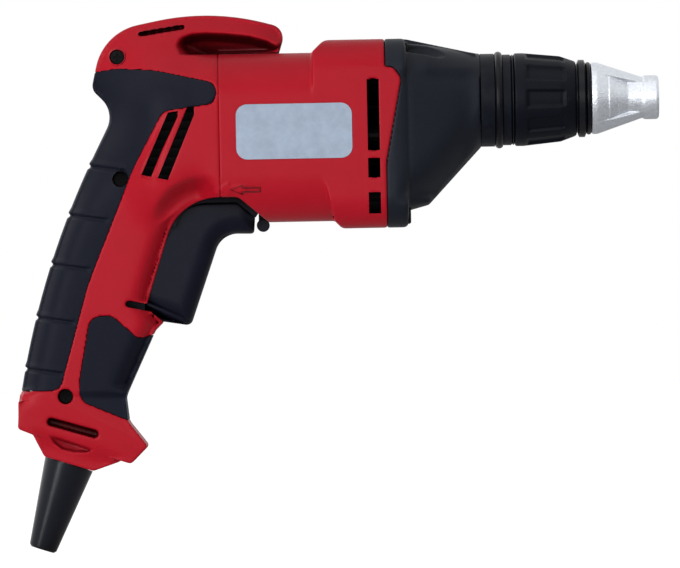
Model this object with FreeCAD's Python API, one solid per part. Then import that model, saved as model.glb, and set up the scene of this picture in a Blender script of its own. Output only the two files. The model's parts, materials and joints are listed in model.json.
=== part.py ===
import FreeCAD, Part
import math
import os
from FreeCAD import Rotation, Vector

# Drywall screwdriver, in millimetres. X runs forward along the spindle to the nose
# tip, Z is up and Y is the left side. The origin is the centre of the nose tip.

# Lengths along the tool, from the nose tip backwards
NOSE_LENGTH = 30.4
NOSE_RING_ROOM = 2.5
CARRIER_FLANGE_LENGTH = 3.7
SLEEVE_FRONT_GAP = 0.5
SLEEVE_LENGTH = 28.0
SLEEVE_REAR_GAP = 1.2
COLLAR_LENGTH = 13.8
GEAR_CASE_LENGTH = 43.0
MOTOR_CASE_LENGTH = 74.5
HANDLE_REACH = 92.6

# Gears
GEAR_MODULE = 0.8
PINION_TEETH = 7
GEAR_TEETH = 31
GEAR_SHIFT_SHARE = 0.35
ADDENDUM_SHARE = 0.85
DEDENDUM_SHARE = 1.25
PRESSURE_ANGLE = 25.0
GEAR_BACKLASH = 0.1
GEAR_WIDTH = 8.0
PINION_OVERHANG = 1.0

# Clearances
FIT_GAP = 0.03
SLIDE_GAP = 0.1
LOOSE_GAP = 0.4

# Barrel and handle
BARREL_WIDTH = 70.0
BARREL_HEIGHT = 75.5
BARREL_CORNER_SHARE = 0.62
BARREL_WALL = 3.0
TAIL_LENGTH = 41.0
TAIL_ROUNDING = 17.0
FLANGE_TOP_RISE = 5.4
FLANGE_BOTTOM_DROP = 3.4
FLANGE_CORNER = 15.0
FLANGE_LENGTH = 27.0
HOOK_RISE = 17.9
HOOK_WIDTH = 30.0
HOOK_ROUNDING = 3.4
HANDLE_DROP = 163.0
HANDLE_WIDTH = 38.0
HANDLE_ROUNDING = 10.0
HANDLE_BLEND = 8.0
SKIRT_WIDTH = 31.0
GRIP_DEPTH = 1.4
ARCH_WALL = 2.0
SEAM_CHAMFER = 0.4

# Side outlines of the handle. Each corner is a share of the handle's reach behind
# the seam, a level (-1 base, 0 spindle axis, 1 barrel top, 2 hook top) and the share
# of the shorter side next to it that the corner's arc takes.
HOOK_SHARES = (
    (-0.294, 1.03, 0.0),
    (-0.332, 1.641, 0.558),
    (0.035, 2.149, 0.702),
    (0.557, 1.618, 0.6),
    (0.619, 0.359, 0.231),
    (0.526, -0.003, 0.0),
    (0.188, -0.003, 0.0),
    (0.123, 1.03, 0.02),
)
HANDLE_SHARES = (
    (0.577, 0.186, 0.0),
    (0.507, -0.014, 0.881),
    (0.898, -0.45, 0.938),
    (1.004, -0.847, 0.0),
    (0.476, -0.847, 0.0),
    (0.485, -0.804, 0.486),
    (0.332, -0.618, 0.072),
    (0.278, -0.588, 0.218),
    (0.345, -0.545, 0.0),
    (0.17, -0.245, 0.5),
    (0.0, -0.245, 0.0),
    (0.0, 0.5, 0.0),
    (0.502, 0.5, 0.0),
)
FOOT_SHARES = (
    (0.995, -0.804, 0.0),
    (1.003, -0.881, 0.165),
    (0.939, -0.896, 0.0),
    (0.458, -0.983, 0.082),
    (0.374, -0.935, 0.118),
    (0.467, -0.867, 0.109),
    (0.479, -0.804, 0.0),
)
SKIRT_SHARES = (
    (0.939, -0.89, 0.0),
    (0.879, -0.958, 0.031),
    (0.642, -1.001, 0.024),
    (0.515, -0.977, 0.0),
    (0.515, -0.92, 0.0),
    (0.939, -0.859, 0.0),
)
OPENING_SHARES = (
    (0.373, -0.554, 0.107),
    (0.203, -0.255, 0.657),
    (-0.085, -0.255, 0.076),
    (-0.27, -0.345, 0.0),
    (-0.27, -0.6, 0.0),
    (0.278, -0.6, 0.0),
)
TRIGGER_SHARES = (
    (-0.157, -0.356, 0.173),
    (0.002, -0.354, 0.502),
    (0.158, -0.606, 0.144),
    (0.33, -0.59, 0.05),
    (0.415, -0.548, 0.119),
    (0.25, -0.268, 0.462),
    (-0.085, -0.264, 0.191),
    (-0.163, -0.306, 0.107),
)
TRIGGER_HOLLOW_SHARES = (
    (-0.1, -0.32, 0.187),
    (0.028, -0.325, 0.411),
    (0.18, -0.572, 0.096),
    (0.34, -0.565, 0.018),
    (0.47, -0.54, 0.0),
    (0.305, -0.23, 0.0),
    (-0.06, -0.23, 0.0),
)
REAR_GRIP_SHARES = (
    (0.72, 0.64, 0.0),
    (0.49, 0.75, 0.107),
    (0.307, 0.69, 0.199),
    (-0.006, 0.395, 0.614),
    (0.029, 0.009, 0.24),
    (0.27, -0.017, 0.125),
    (0.424, -0.176, 0.086),
    (0.65, -0.486, 0.13),
    (0.796, -0.777, 0.13),
    (1.11, -0.777, 0.0),
)
PALM_GRIP_SHARES = (
    (0.642, -0.577, 0.464),
    (0.538, -0.575, 0.193),
    (0.41, -0.64, 0.145),
    (0.3, -0.622, 0.0),
    (0.2, -0.64, 0.0),
    (0.4, -0.88, 0.0),
    (0.447, -0.868, 0.0),
    (0.706, -0.805, 0.477),
    (0.695, -0.74, 0.151),
)
HANDLE_FRONT_SHARES = (0.42, -0.5)
BLEND_LIMIT_SHARES = (0.235, -0.12)
HUMP_FRONT_SHARES = (0.16, 1.0)
HANDLE_SCREW_SHARES = ((0.490, 0.988), (0.484, -0.200), (0.769, -0.794))
REAR_VENT_SHARES = (
    ((0.214, -0.029), (0.347, -0.184)),
    ((0.139, -0.019), (0.265, -0.193)),
)
HUMP_SLOT_SHARES = ((0.374, 1.551), (0.172, 1.705))
FOOT_SLOT_SHARES = ((0.840, -0.863), (0.633, -0.898))
TRIGGER_SLOT_SHARES = ((0.455, -0.543), (0.330, -0.558))
REAR_VENT_WIDTH = 3.2
HUMP_SLOT_WIDTH = 2.0
HUMP_SLOT_DEPTH = 2.5
FOOT_SLOT_WIDTH = 3.6
FOOT_SLOT_DEPTH = 1.6
TRIGGER_SLOT_WIDTH = 3.0

# Screws through the handle shells
SCREW_BOSS_RADIUS = 4.5
SCREW_HEAD_RADIUS = 3.0
SCREW_HEAD_HEIGHT = 2.4
SCREW_SHANK_RADIUS = 1.5
SCREW_SEAT_DEPTH = 8.0
SCREW_REACH = 11.0
SCREW_SOCKET_WIDTH = 1.0
SCREW_SOCKET_SPAN = 3.6
SCREW_SOCKET_DEPTH = 1.4

# Gear case and its screws
CASE_FLANGE_LENGTH = 9.6
CASE_MIDDLE_LENGTH = 19.0
CASE_REAR_TRIM = 1.6
CASE_MIDDLE_WIDTH_SHARE = 0.86
CASE_MIDDLE_TOP_SHARE = 0.93
CASE_MIDDLE_BOTTOM_SHARE = 0.825
CASE_CORNER = 16.0
CASE_ROUNDING = 2.0
CASE_RIDGE_WIDTH = 19.0
CASE_RIDGE_RISE = 1.3
CASE_WALL = 4.0
COLLAR_RADIUS = 20.9
CASE_SCREW_SPREAD = 44.0
CASE_SCREW_INSET = 5.0
CASE_SCREW_SHANK = 2.0
CASE_SCREW_HEAD = 3.4
CASE_SCREW_HEAD_HEIGHT = 3.0
CASE_SCREW_LENGTH = 24.0
CASE_CHAMBER_RADIUS = 14.2
PINION_ROOM_RADIUS = 6.0
TONGUE_THICKNESS = 2.4
# Corners of the tongue: share of the gear case's length from the joint, share of the
# barrel's height from the motor axis, and corner radius as a share of that height
TONGUE_SHARES = (
    (-0.226, 0.411, 0.0),
    (0.087, 0.398, 0.037),
    (0.167, 0.333, 0.049),
    (-0.031, -0.252, 0.0),
    (-0.226, -0.252, 0.0),
)

# Snout, bushes and clutch, in front of the joint with the motor case
SNOUT_RADIUS = 12.0
SNOUT_SETBACK = 9.0
SNOUT_FRONT_BORE = 7.4
KEY_WIDTH = 3.0
KEY_HEIGHT = 1.0
KEY_LENGTH = 4.5
PLATE_THICKNESS = 3.6
PLATE_HUB_RADIUS = 14.0
PLATE_BUSH_HUB_RADIUS = 8.5
PLATE_SHAFT_HOLE = 6.2
FRONT_BEARING_BORE = 8.0
FRONT_BEARING_OUTSIDE = 22.0
FRONT_BEARING_WIDTH = 7.0
BEARING_SETBACK = 0.6
BEARING_POCKET_WALL = 2.0
BALL_SHARE = 0.24
RING_SHARE = 0.27
BALL_COUNT = 7
GEAR_BUSH_START = 8.2
GEAR_BUSH_LENGTH = 4.6
GEAR_BUSH_WALL = 2.0
GEAR_JOURNAL_RADIUS = 4.5
GEAR_START = 15.0
GEAR_SHOULDER_RADIUS = 6.2
GEAR_SHOULDER_LENGTH = 1.8
PILOT_RADIUS = 3.0
PILOT_LENGTH = 17.0
JAW_HEIGHT = 2.4
JAW_INNER_RADIUS = 7.0
JAW_OUTER_RADIUS = 10.5
JAW_COUNT = 3
JAW_SPAN = 50.0
CLUTCH_GAP = 0.7
SPINDLE_FLANGE_LENGTH = 3.0
SPINDLE_RADIUS = 6.0
SPINDLE_FRONT = 41.0
WASHER_THICKNESS = 1.2
WASHER_GAP = 0.2
BUSH_SETBACK = 2.0
BUSH_LENGTH = 18.0
BUSH_RADIUS = 9.0
SEAL_LENGTH = 3.4
SEAL_GAP = 0.3
CLUTCH_COIL_RADIUS = 4.8
CLUTCH_WIRE_RADIUS = 0.5
CLUTCH_COILS = 4
SPRING_POCKET_RADIUS = 6.0
GEAR_POCKET_DEPTH = 3.0
FLANGE_POCKET_DEPTH = 1.4

# Bit holder
HEX_SOCKET_FLATS = 6.4
HEX_SHANK_FLATS = 6.25
HEX_SHANK_LENGTH = 15.0
HEX_SOCKET_ROOM = 1.0
BIT_HOLDER_RADIUS = 5.0
BIT_HOLDER_FRONT = 14.0
BIT_SOCKET_DEPTH = 12.0
BIT_SOCKET_CHAMFER = 0.6
MAGNET_RADIUS = 2.6
MAGNET_LENGTH = 3.0
DETENT_BALL_RADIUS = 1.2
DETENT_SETBACK = 3.6
DETENT_RING_WIDTH = 1.4
DETENT_RING_THICKNESS = 0.8

# Depth collar, sleeve, carrier and nose
COLLAR_RING_RADIUS = 1.85
COLLAR_RING_PROUD = 0.9
COLLAR_RING_SETBACK = 5.7
COLLAR_CHAMFER = 0.5
SLEEVE_BORE = 15.6
SLEEVE_FRONT_RADIUS = 16.9
SLEEVE_STRAIGHT_SHARE = 0.74
SLEEVE_WAIST_SHARE = 0.92
SLEEVE_HUB_LENGTH = 4.0
SLEEVE_CHAMFER = 0.7
FLUTE_COUNT = 10
FLUTE_RADIUS = 4.2
FLUTE_DEPTH = 1.3
FLUTE_START_SHARE = 0.22
SLEEVE_TILT = 6.0
RETAINER_THICKNESS = 1.2
RETAINER_PROUD = 1.8
RETAINER_DEPTH = 0.9
CARRIER_FLANGE_RADIUS = 17.4
CARRIER_OVERLAP = 12.5
CARRIER_SPIGOT_LENGTH = 8.0
CARRIER_SPIGOT_RADIUS = 13.3
CARRIER_STEP = 0.7
CARRIER_TRAVEL = 4.0
CARRIER_RING_RADIUS = 1.15
NOSE_BASE_RADIUS = 16.1
NOSE_RIM_LENGTH = 2.6
NOSE_TIP_RADIUS = 9.9
NOSE_NECK_RADIUS = 9.2
NOSE_TIP_LENGTH = 6.5
NOSE_BARREL_LENGTH = 14.0
NOSE_CHAMFER = 0.9
NOSE_BORE_RADIUS = 6.6
NOSE_BORE_LENGTH = 8.0
NOSE_INNER_RADIUS = 12.0
NOSE_WING_ANGLE = 90.0

# Motor, behind the joint
STATOR_SETBACK = 23.0
STATOR_LENGTH = 36.0
STATOR_SIDE_GAP = 4.0
STATOR_RIM = 4.3
POLE_HALF_ANGLE = 56.0
COIL_SETBACK = 1.1
COIL_HALF_ANGLE = 78.0
COIL_FRONT_OVERHANG = 3.5
COIL_REAR_OVERHANG = 7.0
COIL_GAP = 0.3
STATOR_RIB_WIDTH = 6.0
STATOR_RIB_LENGTH = 14.0
ARMATURE_GAP = 0.5
POLE_DEPTH = 7.2
ARMATURE_SLOTS = 12
ARMATURE_SLOT_WIDTH = 2.0
ARMATURE_SLOT_DEPTH = 2.6
WINDING_INSET = 1.8
WINDING_FRONT_LENGTH = 4.4
WINDING_REAR_LENGTH = 8.0
WINDING_ROUNDING = 1.8
SHAFT_RADIUS = 4.0
SHAFT_OVERHANG = 1.0
COMMUTATOR_GAP = 6.0
COMMUTATOR_LENGTH = 16.0
COMMUTATOR_RADIUS = 11.0
COMMUTATOR_BARS = 24
COMMUTATOR_SLIT = 0.4
COMMUTATOR_SLIT_DEPTH = 0.8
RISER_LENGTH = 2.4
RISER_RADIUS = 12.4
RISER_ROOM = 1.0
FAN_SETBACK = 2.0
FAN_WIDTH = 10.0
FAN_DISC = 2.0
FAN_SIDE_GAP = 5.0
FAN_HUB_RADIUS = 8.0
FAN_EYE_RADIUS = 13.0
FAN_BLADES = 12
FAN_BLADE_THICKNESS = 1.4
BAFFLE_GAP = 2.4
BAFFLE_THICKNESS = 1.5
BAFFLE_HOLE = 20.0
REAR_BEARING_BORE = 7.0
REAR_BEARING_OUTSIDE = 19.0
REAR_BEARING_WIDTH = 6.0
REAR_BEARING_GAP = 4.0
SLEEVE_RUBBER = 1.6
CUP_WALL = 2.4
CUP_END = 2.0
RIM_LENGTH = 3.5
RIM_DEPTH = 2.5
BRIDGE_RING_LENGTH = 4.0
BRIDGE_RING_HOLE = 22.0
BRIDGE_ARM_WIDTH = 9.0
BRIDGE_ARM_DEPTH = 6.0
BRIDGE_FLOOR_GAP = 1.0
BRUSH_SPRING_LENGTH = 5.55
BRUSH_WIDTH = 8.0
BRUSH_HEIGHT = 6.0
BRUSH_GAP = 0.05
HOLDER_WALL = 1.0
HOLDER_START = 12.6
HOLDER_SIDE_GAP = 1.4
HOLDER_SHELF = 2.4
BRUSH_COIL_RADIUS = 2.2
BRUSH_WIRE_RADIUS = 0.3
BRUSH_COILS = 4
VENT_SETBACK = 3.2
VENT_WIDTH = 4.4
VENT_LEVEL_SHARES = ((0.45, -0.136), (-0.156, -0.210), (-0.250, -0.300))
VENT_ROUNDING = 1.5
LABEL_LENGTH = 51.8
LABEL_HEIGHT = 24.6
LABEL_CORNER = 5.0
LABEL_THICKNESS = 0.5
LABEL_PROUD = 0.15
LABEL_SETBACK = 15.1
LABEL_RISE = 2.4
ARROW_LENGTH = 12.2
ARROW_HEAD_SHARE = 0.42
ARROW_HEAD_WIDTH = 6.4
ARROW_SHAFT_WIDTH = 2.6
ARROW_RISE = 0.5
ARROW_SETBACK = 63.4
ARROW_DROP = 38.2

# Trigger, switch and reverse lever
TRIGGER_WIDTH = 25.0
TRIGGER_HOLLOW_WIDTH = 18.0
TRIGGER_ROUNDING = 2.0
TRIGGER_TRAVEL = 9.0
TRIGGER_SWEEP_SHARES = (0.0, 0.5, 1.0)
TRIGGER_SIDE_GAP = 0.7
TRIGGER_PIVOT_SHARES = (-0.06, -0.291)
TRIGGER_PIN_RADIUS = 1.5
TRIGGER_PIN_LENGTH = 22.0
TRIGGER_WEB_SHARE = -0.437
TRIGGER_WEB_HEIGHT = 7.0
TRIGGER_WEB_REAR_SHARE = 0.30
LUG_WIDTH = 8.0
LUG_RADIUS = 3.6
SWITCH_SHARES = (0.510, -0.49)
SWITCH_LENGTH = 19.0
SWITCH_WIDTH = 22.0
SWITCH_HEIGHT = 26.0
PLUNGER_RADIUS = 2.6
PLUNGER_DEPTH = 10.0
PLUNGER_GAP = 0.6
TRIGGER_COIL_RADIUS = 4.4
TRIGGER_WIRE_RADIUS = 0.45
TRIGGER_COILS = 5
RIB_THICKNESS = 4.0
RIB_HEIGHT = 14.0
CAPACITOR_SHARES = (0.70, -0.645)
CAPACITOR_RADIUS = 6.0
CAPACITOR_LENGTH = 18.0
LEVER_PIVOT_SETBACK = 45.0
LEVER_PIVOT_RADIUS = 1.9
LEVER_EYE_RADIUS = 4.0
LEVER_THICKNESS = 3.6
LEVER_FLOOR_GAP = 0.5
LEVER_ARM = 10.8
LEVER_STEM_WIDTH = 4.4
LEVER_STEM_DEPTH = 4.0
KNOB_RADIUS = 2.9
KNOB_WIDTH = 9.0
LEVER_SWING = 14.0

# Cord guard and clamp
GUARD_SEAT_SHARES = (0.764, -0.9815)
GUARD_TILT = 18.3
GUARD_LENGTH = 40.3
GUARD_BASE_RADIUS = 11.2
GUARD_END_RADIUS = 6.3
GUARD_BORE = 4.2
GUARD_NECK_RADIUS = 9.0
GUARD_FLANGE_RADIUS = 11.3
GUARD_FLANGE_LENGTH = 3.0
GUARD_END_ROUNDING = 1.0
CLAMP_SHARES = (0.757, -0.855)
CLAMP_LENGTH = 24.0
CLAMP_HEIGHT = 7.0
CLAMP_THICKNESS = 3.0
CLAMP_SCREW_SPREAD = 17.0
CLAMP_POST_RADIUS = 3.4
CLAMP_SCREW_RADIUS = 1.3
CLAMP_SCREW_LENGTH = 9.0
CLAMP_HEAD_RADIUS = 2.6
CLAMP_HEAD_HEIGHT = 1.8

# Smallest length that counts, for picking edges
TINY = 0.01

# Places worked out from the values above
carrier_front_x = -(NOSE_LENGTH + NOSE_RING_ROOM)
sleeve_front_x = carrier_front_x - CARRIER_FLANGE_LENGTH - SLEEVE_FRONT_GAP
sleeve_rear_x = sleeve_front_x - SLEEVE_LENGTH
collar_front_x = sleeve_rear_x - SLEEVE_REAR_GAP
collar_rear_x = collar_front_x - COLLAR_LENGTH
joint_x = collar_rear_x - GEAR_CASE_LENGTH
seam_x = joint_x - MOTOR_CASE_LENGTH
motor_z = -GEAR_MODULE * (PINION_TEETH + GEAR_TEETH) / 2
barrel_top = motor_z + BARREL_HEIGHT / 2
barrel_bottom = motor_z - BARREL_HEIGHT / 2
barrel_corner = BARREL_CORNER_SHARE * BARREL_WIDTH / 2
flange_top = barrel_top + FLANGE_TOP_RISE
flange_bottom = barrel_bottom - FLANGE_BOTTOM_DROP
gear_front_x = joint_x + GEAR_START + GEAR_WIDTH
spindle_jaw_x = gear_front_x + JAW_HEIGHT + CLUTCH_GAP
spindle_flange_x = spindle_jaw_x + JAW_HEIGHT
washer_x = spindle_flange_x + SPINDLE_FLANGE_LENGTH + WASHER_GAP
chamber_front_x = washer_x + WASHER_THICKNESS + WASHER_GAP
bush_x = chamber_front_x + BUSH_SETBACK
seal_x = bush_x + BUSH_LENGTH + SEAL_GAP
snout_front_x = sleeve_front_x - SNOUT_SETBACK
stator_front_x = joint_x - STATOR_SETBACK
stator_rear_x = stator_front_x - STATOR_LENGTH
stator_radius = BARREL_WIDTH / 2 - BARREL_WALL - STATOR_SIDE_GAP
window_radius = stator_radius - STATOR_RIM
pole_bore = window_radius - POLE_DEPTH
armature_radius = pole_bore - ARMATURE_GAP
winding_radius = armature_radius - WINDING_INSET
coil_inner_radius = pole_bore + COIL_SETBACK
fan_radius = BARREL_WIDTH / 2 - BARREL_WALL - FAN_SIDE_GAP
commutator_front_x = stator_rear_x - WINDING_REAR_LENGTH - COMMUTATOR_GAP
commutator_rear_x = commutator_front_x - COMMUTATOR_LENGTH
brush_x = (commutator_front_x - RISER_LENGTH + commutator_rear_x) / 2
rear_bearing_x = commutator_rear_x - REAR_BEARING_GAP - REAR_BEARING_WIDTH
shaft_rear_x = rear_bearing_x - SHAFT_OVERHANG
holder_end = BARREL_WIDTH / 2 - BARREL_WALL - HOLDER_SIDE_GAP
brush_start = COMMUTATOR_RADIUS + BRUSH_GAP
brush_end = holder_end - HOLDER_WALL - BRUSH_SPRING_LENGTH
case_screw_places = [
    (side * CASE_SCREW_SPREAD / 2, level)
    for side in (-1, 1)
    for level in (flange_top - CASE_SCREW_INSET, flange_bottom + CASE_SCREW_INSET - FIT_GAP)
]


def place(reach_share, level):
    """Side-view point from a reach share and a level."""
    x = seam_x - reach_share * HANDLE_REACH
    if level < 0:
        return x, level * HANDLE_DROP
    if level < 1:
        return x, level * barrel_top
    return x, barrel_top + (level - 1) * HOOK_RISE


def side_corners(shares):
    """Corners (x, z, radius) of a side outline given in shares."""
    points = [Vector(*place(reach_share, level), 0) for reach_share, level, arc_share in shares]
    corners = []
    for index, here in enumerate(points):
        back = points[index - 1] - here
        ahead = points[(index + 1) % len(points)] - here
        tangent = shares[index][2] * min(back.Length, ahead.Length)
        corners.append((here.x, here.y, tangent * math.tan(back.getAngle(ahead) / 2)))
    return corners


def rounded_wire(corners, to_vector):
    """Closed wire through corners (a, b, radius), each corner cut by its arc."""
    count = len(corners)
    bends = []
    for index in range(count):
        a, b, radius = corners[index]
        here = Vector(a, b, 0)
        before = Vector(corners[index - 1][0], corners[index - 1][1], 0)
        after = Vector(corners[(index + 1) % count][0], corners[(index + 1) % count][1], 0)
        if radius == 0:
            bends.append((here, here, here))
            continue
        back = (before - here).normalize()
        ahead = (after - here).normalize()
        half = back.getAngle(ahead) / 2
        tangent = radius / math.tan(half)
        middle = here + (back + ahead).normalize() * (radius / math.sin(half) - radius)
        bends.append((here + back * tangent, middle, here + ahead * tangent))
    edges = []
    for index in range(count):
        start, middle, end = bends[index]
        following = bends[(index + 1) % count][0]
        if (end - start).Length > 0:
            arc = Part.Arc(to_vector(start), to_vector(middle), to_vector(end))
            edges.append(arc.toShape())
        if (following - end).Length > TINY:
            edges.append(Part.makeLine(to_vector(end), to_vector(following)))
    return Part.Wire(edges)


def side_vector(point):
    return Vector(point.x, 0, point.y)


def side_face(corners, grow=0.0):
    """Flat face of a side outline, grown outward (or inward if negative)."""
    face = Part.Face(rounded_wire(corners, side_vector))
    if grow != 0:
        face = face.makeOffset2D(grow, join=2)
    return face


def across(face, start_y, end_y):
    """Side face extruded from start_y to end_y."""
    moved = face.translated(Vector(0, start_y, 0))
    return moved.extrude(Vector(0, end_y - start_y, 0))


def side_prism(corners, width, grow=0.0):
    return across(side_face(corners, grow), -width / 2, width / 2)


def slot_face(start, end, width):
    """Face of a straight slot with round ends in side view."""
    (x0, z0), (x1, z1) = start, end
    along = Vector(x1 - x0, z1 - z0, 0).normalize()
    side = Vector(-along.y, along.x, 0) * (width / 2)
    first = Vector(x0, z0, 0)
    last = Vector(x1, z1, 0)
    tip = along * (width / 2)
    edges = [
        Part.makeLine(side_vector(first + side), side_vector(last + side)),
        Part.Arc(side_vector(last + side), side_vector(last + tip), side_vector(last - side)).toShape(),
        Part.makeLine(side_vector(last - side), side_vector(first - side)),
        Part.Arc(side_vector(first - side), side_vector(first - tip), side_vector(first + side)).toShape(),
    ]
    return Part.Face(Part.Wire(edges))


def cross_wire(x, half_width, low, high, radius):
    """Rounded rectangle across the tool at x."""
    corners = [
        (-half_width, low, radius),
        (half_width, low, radius),
        (half_width, high, radius),
        (-half_width, high, radius),
    ]
    return rounded_wire(corners, lambda point: Vector(x, point.x, point.y))


def barrel_bar(start_x, end_x, inset=0.0):
    """Bar with the barrel's cross-section, moved inward by inset."""
    wire = cross_wire(start_x, BARREL_WIDTH / 2 - inset, barrel_bottom + inset,
                      barrel_top - inset, barrel_corner - inset)
    return Part.Face(wire).extrude(Vector(end_x - start_x, 0, 0))


def box(start, end):
    size = end - start
    return Part.makeBox(size.x, size.y, size.z, start)


def rod(radius, start_x, end_x, z=0.0, y=0.0):
    """Cylinder along X."""
    return Part.makeCylinder(radius, end_x - start_x, Vector(start_x, y, z), Vector(1, 0, 0))


def tube(outer, inner, start_x, end_x, z=0.0, y=0.0):
    return rod(outer, start_x, end_x, z, y).cut(rod(inner, start_x, end_x, z, y))


def cross_rod(radius, x, z, start_y, end_y):
    """Cylinder along Y."""
    return Part.makeCylinder(radius, end_y - start_y, Vector(x, start_y, z), Vector(0, 1, 0))


def turned(profile, z=0.0):
    """Solid turned about the line along X at height z, from points (x, radius)."""
    points = [Vector(x, 0, z + radius) for x, radius in profile]
    wire = Part.makePolygon(points + points[:1])
    return Part.Face(wire).revolve(Vector(0, 0, z), Vector(1, 0, 0), 360)


def ring(mean_radius, wire_radius, x, z=0.0):
    """Round ring about the line along X."""
    return Part.makeTorus(mean_radius, wire_radius, Vector(x, 0, z), Vector(1, 0, 0))


def hex_bar(flats, start_x, end_x):
    corner = flats / math.sqrt(3)
    points = []
    for step in range(6):
        angle = math.radians(60 * step)
        points.append(Vector(start_x, corner * math.cos(angle), corner * math.sin(angle)))
    return Part.Face(Part.makePolygon(points + points[:1])).extrude(Vector(end_x - start_x, 0, 0))


def on_x_axis(shape, start):
    """Copy of a shape made along Z, laid along X from start."""
    laid = shape.copy()
    laid.Placement = FreeCAD.Placement(start, to_x_axis).multiply(shape.Placement)
    return laid


def sector(outer, inner, start_x, end_x, z, middle_angle, span):
    """Part of a tube along X, centred on middle_angle (degrees from +Y to +Z)."""
    body = Part.makeCylinder(outer, end_x - start_x, Vector(0, 0, 0), Vector(0, 0, 1), span)
    body = body.cut(Part.makeCylinder(inner, end_x - start_x, Vector(0, 0, 0), Vector(0, 0, 1)))
    body.rotate(Vector(0, 0, 0), Vector(0, 0, 1), middle_angle - span / 2)
    return on_x_axis(body, Vector(start_x, 0, z))


def coil(mean_radius, wire_radius, length, turns):
    """Helical spring along Z from zero to length, on an arc for each quarter turn."""
    rise = length - 2 * wire_radius
    quarters = 4 * turns

    def at(step):
        angle = step * math.pi / 2
        height = wire_radius + rise * step / quarters
        return Vector(mean_radius * math.cos(angle), mean_radius * math.sin(angle), height)

    arcs = [Part.Arc(at(step), at(step + 1 / 2), at(step + 1)).toShape() for step in range(quarters)]
    start = arcs[0].tangentAt(arcs[0].FirstParameter)
    section = Part.Wire(Part.makeCircle(wire_radius, at(0), start))
    return Part.Wire(arcs).makePipeShell([section], True, False)


def edges_where(shape, test):
    return [edge for edge in shape.Edges if test(edge, edge.BoundBox)]


def edges_at(shape, x):
    """Edges in the plane across the tool at x."""
    def in_plane(edge, bounds):
        return bounds.XLength < TINY and abs(bounds.XMax - x) < TINY
    return edges_where(shape, in_plane)


def outline_edges(shape, half_width, test):
    """Edges on the two flat side faces of a side prism that pass the test."""
    def on_side(edge, bounds):
        if bounds.YLength > TINY or abs(abs(bounds.Center.y) - half_width) > TINY:
            return False
        return test(bounds)
    return edges_where(shape, on_side)


# Turns Z to X and X to Y, so that an angle from X to Y becomes one from Y to Z
to_x_axis = Rotation(Vector(0, 1, 0), Vector(0, 0, 1), Vector(1, 0, 0), "ZXY")
parts = {}


def shell_pieces(inset, rounded):
    """Tail, hook, handle, foot and skirt forms of the shells, moved inward by inset."""
    tail_x = seam_x - TAIL_LENGTH + inset
    tail = barrel_bar(tail_x, seam_x, inset)
    rear = edges_where(tail, lambda edge, bounds: bounds.XMax < tail_x + TINY)
    tail = tail.makeFillet(TAIL_ROUNDING - inset, rear)
    hook_width = HOOK_WIDTH - 2 * inset
    hook = side_prism(side_corners(HOOK_SHARES), hook_width, -inset)
    handle_width = HANDLE_WIDTH - 2 * inset
    handle = side_prism(side_corners(HANDLE_SHARES), handle_width, -inset)
    if rounded:
        hook_back = barrel_top + HOOK_RISE / 2
        chosen = outline_edges(hook, hook_width / 2, lambda bounds: bounds.ZMax > hook_back)
        hook = hook.makeFillet(HOOK_ROUNDING - inset, chosen)
        front_x = place(*HANDLE_FRONT_SHARES)[0]
        chosen = outline_edges(
            handle, handle_width / 2,
            lambda bounds: bounds.XMax < front_x and bounds.ZLength > HANDLE_ROUNDING)
        handle = handle.makeFillet(HANDLE_ROUNDING - inset, chosen)
    foot = side_prism(side_corners(FOOT_SHARES), handle_width, -inset)
    skirt = side_prism(side_corners(SKIRT_SHARES), SKIRT_WIDTH - 2 * inset, -inset)
    return tail, hook, handle, foot, skirt


# Handle shells and grips
opening = side_face(side_corners(OPENING_SHARES))
opening_cut = across(opening, -BARREL_WIDTH, BARREL_WIDTH)
arch_keep = across(opening.makeOffset2D(ARCH_WALL, join=2), -BARREL_WIDTH, BARREL_WIDTH)

pivot_x, pivot_z = place(*TRIGGER_PIVOT_SHARES)
trigger_face = side_face(side_corners(TRIGGER_SHARES))
trigger_room = None
for angle_share in TRIGGER_SWEEP_SHARES:
    swung = trigger_face.makeOffset2D(TRIGGER_SIDE_GAP, join=2)
    swung.rotate(Vector(pivot_x, 0, pivot_z), Vector(0, 1, 0), angle_share * TRIGGER_TRAVEL)
    room_width = TRIGGER_WIDTH / 2 + TRIGGER_SIDE_GAP
    swept = across(swung, -room_width, room_width)
    trigger_room = swept if trigger_room is None else trigger_room.fuse(swept)

tail, hook, handle, foot, skirt = shell_pieces(0.0, True)
form = tail.fuse(handle).removeSplitter()
blend_low = barrel_bottom - TINY
blend_x, blend_high = place(*BLEND_LIMIT_SHARES)


def at_handle_root(bounds):
    below = bounds.ZMin > blend_low and bounds.ZMax < blend_high
    return below and bounds.XMax < blend_x + TAIL_ROUNDING / 2


roots = outline_edges(form, HANDLE_WIDTH / 2, at_handle_root)
form = form.makeFillet(HANDLE_BLEND, roots)
form = form.multiFuse([hook, foot, skirt]).removeSplitter()
form = form.cut(opening_cut)

tail, hook, handle, foot, skirt = shell_pieces(GRIP_DEPTH, True)
pocket_form = tail.multiFuse([hook, handle, foot])

tail, hook, handle, foot, skirt = shell_pieces(BARREL_WALL, False)
hump_x = place(*HUMP_FRONT_SHARES)[0]
hook_hollow = hook.common(box(Vector(seam_x - HANDLE_REACH, -HOOK_WIDTH, motor_z),
                              Vector(hump_x, HOOK_WIDTH, barrel_top + HOOK_RISE)))
hollow = tail.multiFuse([hook_hollow, handle, foot, skirt]).cut(arch_keep)

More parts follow.
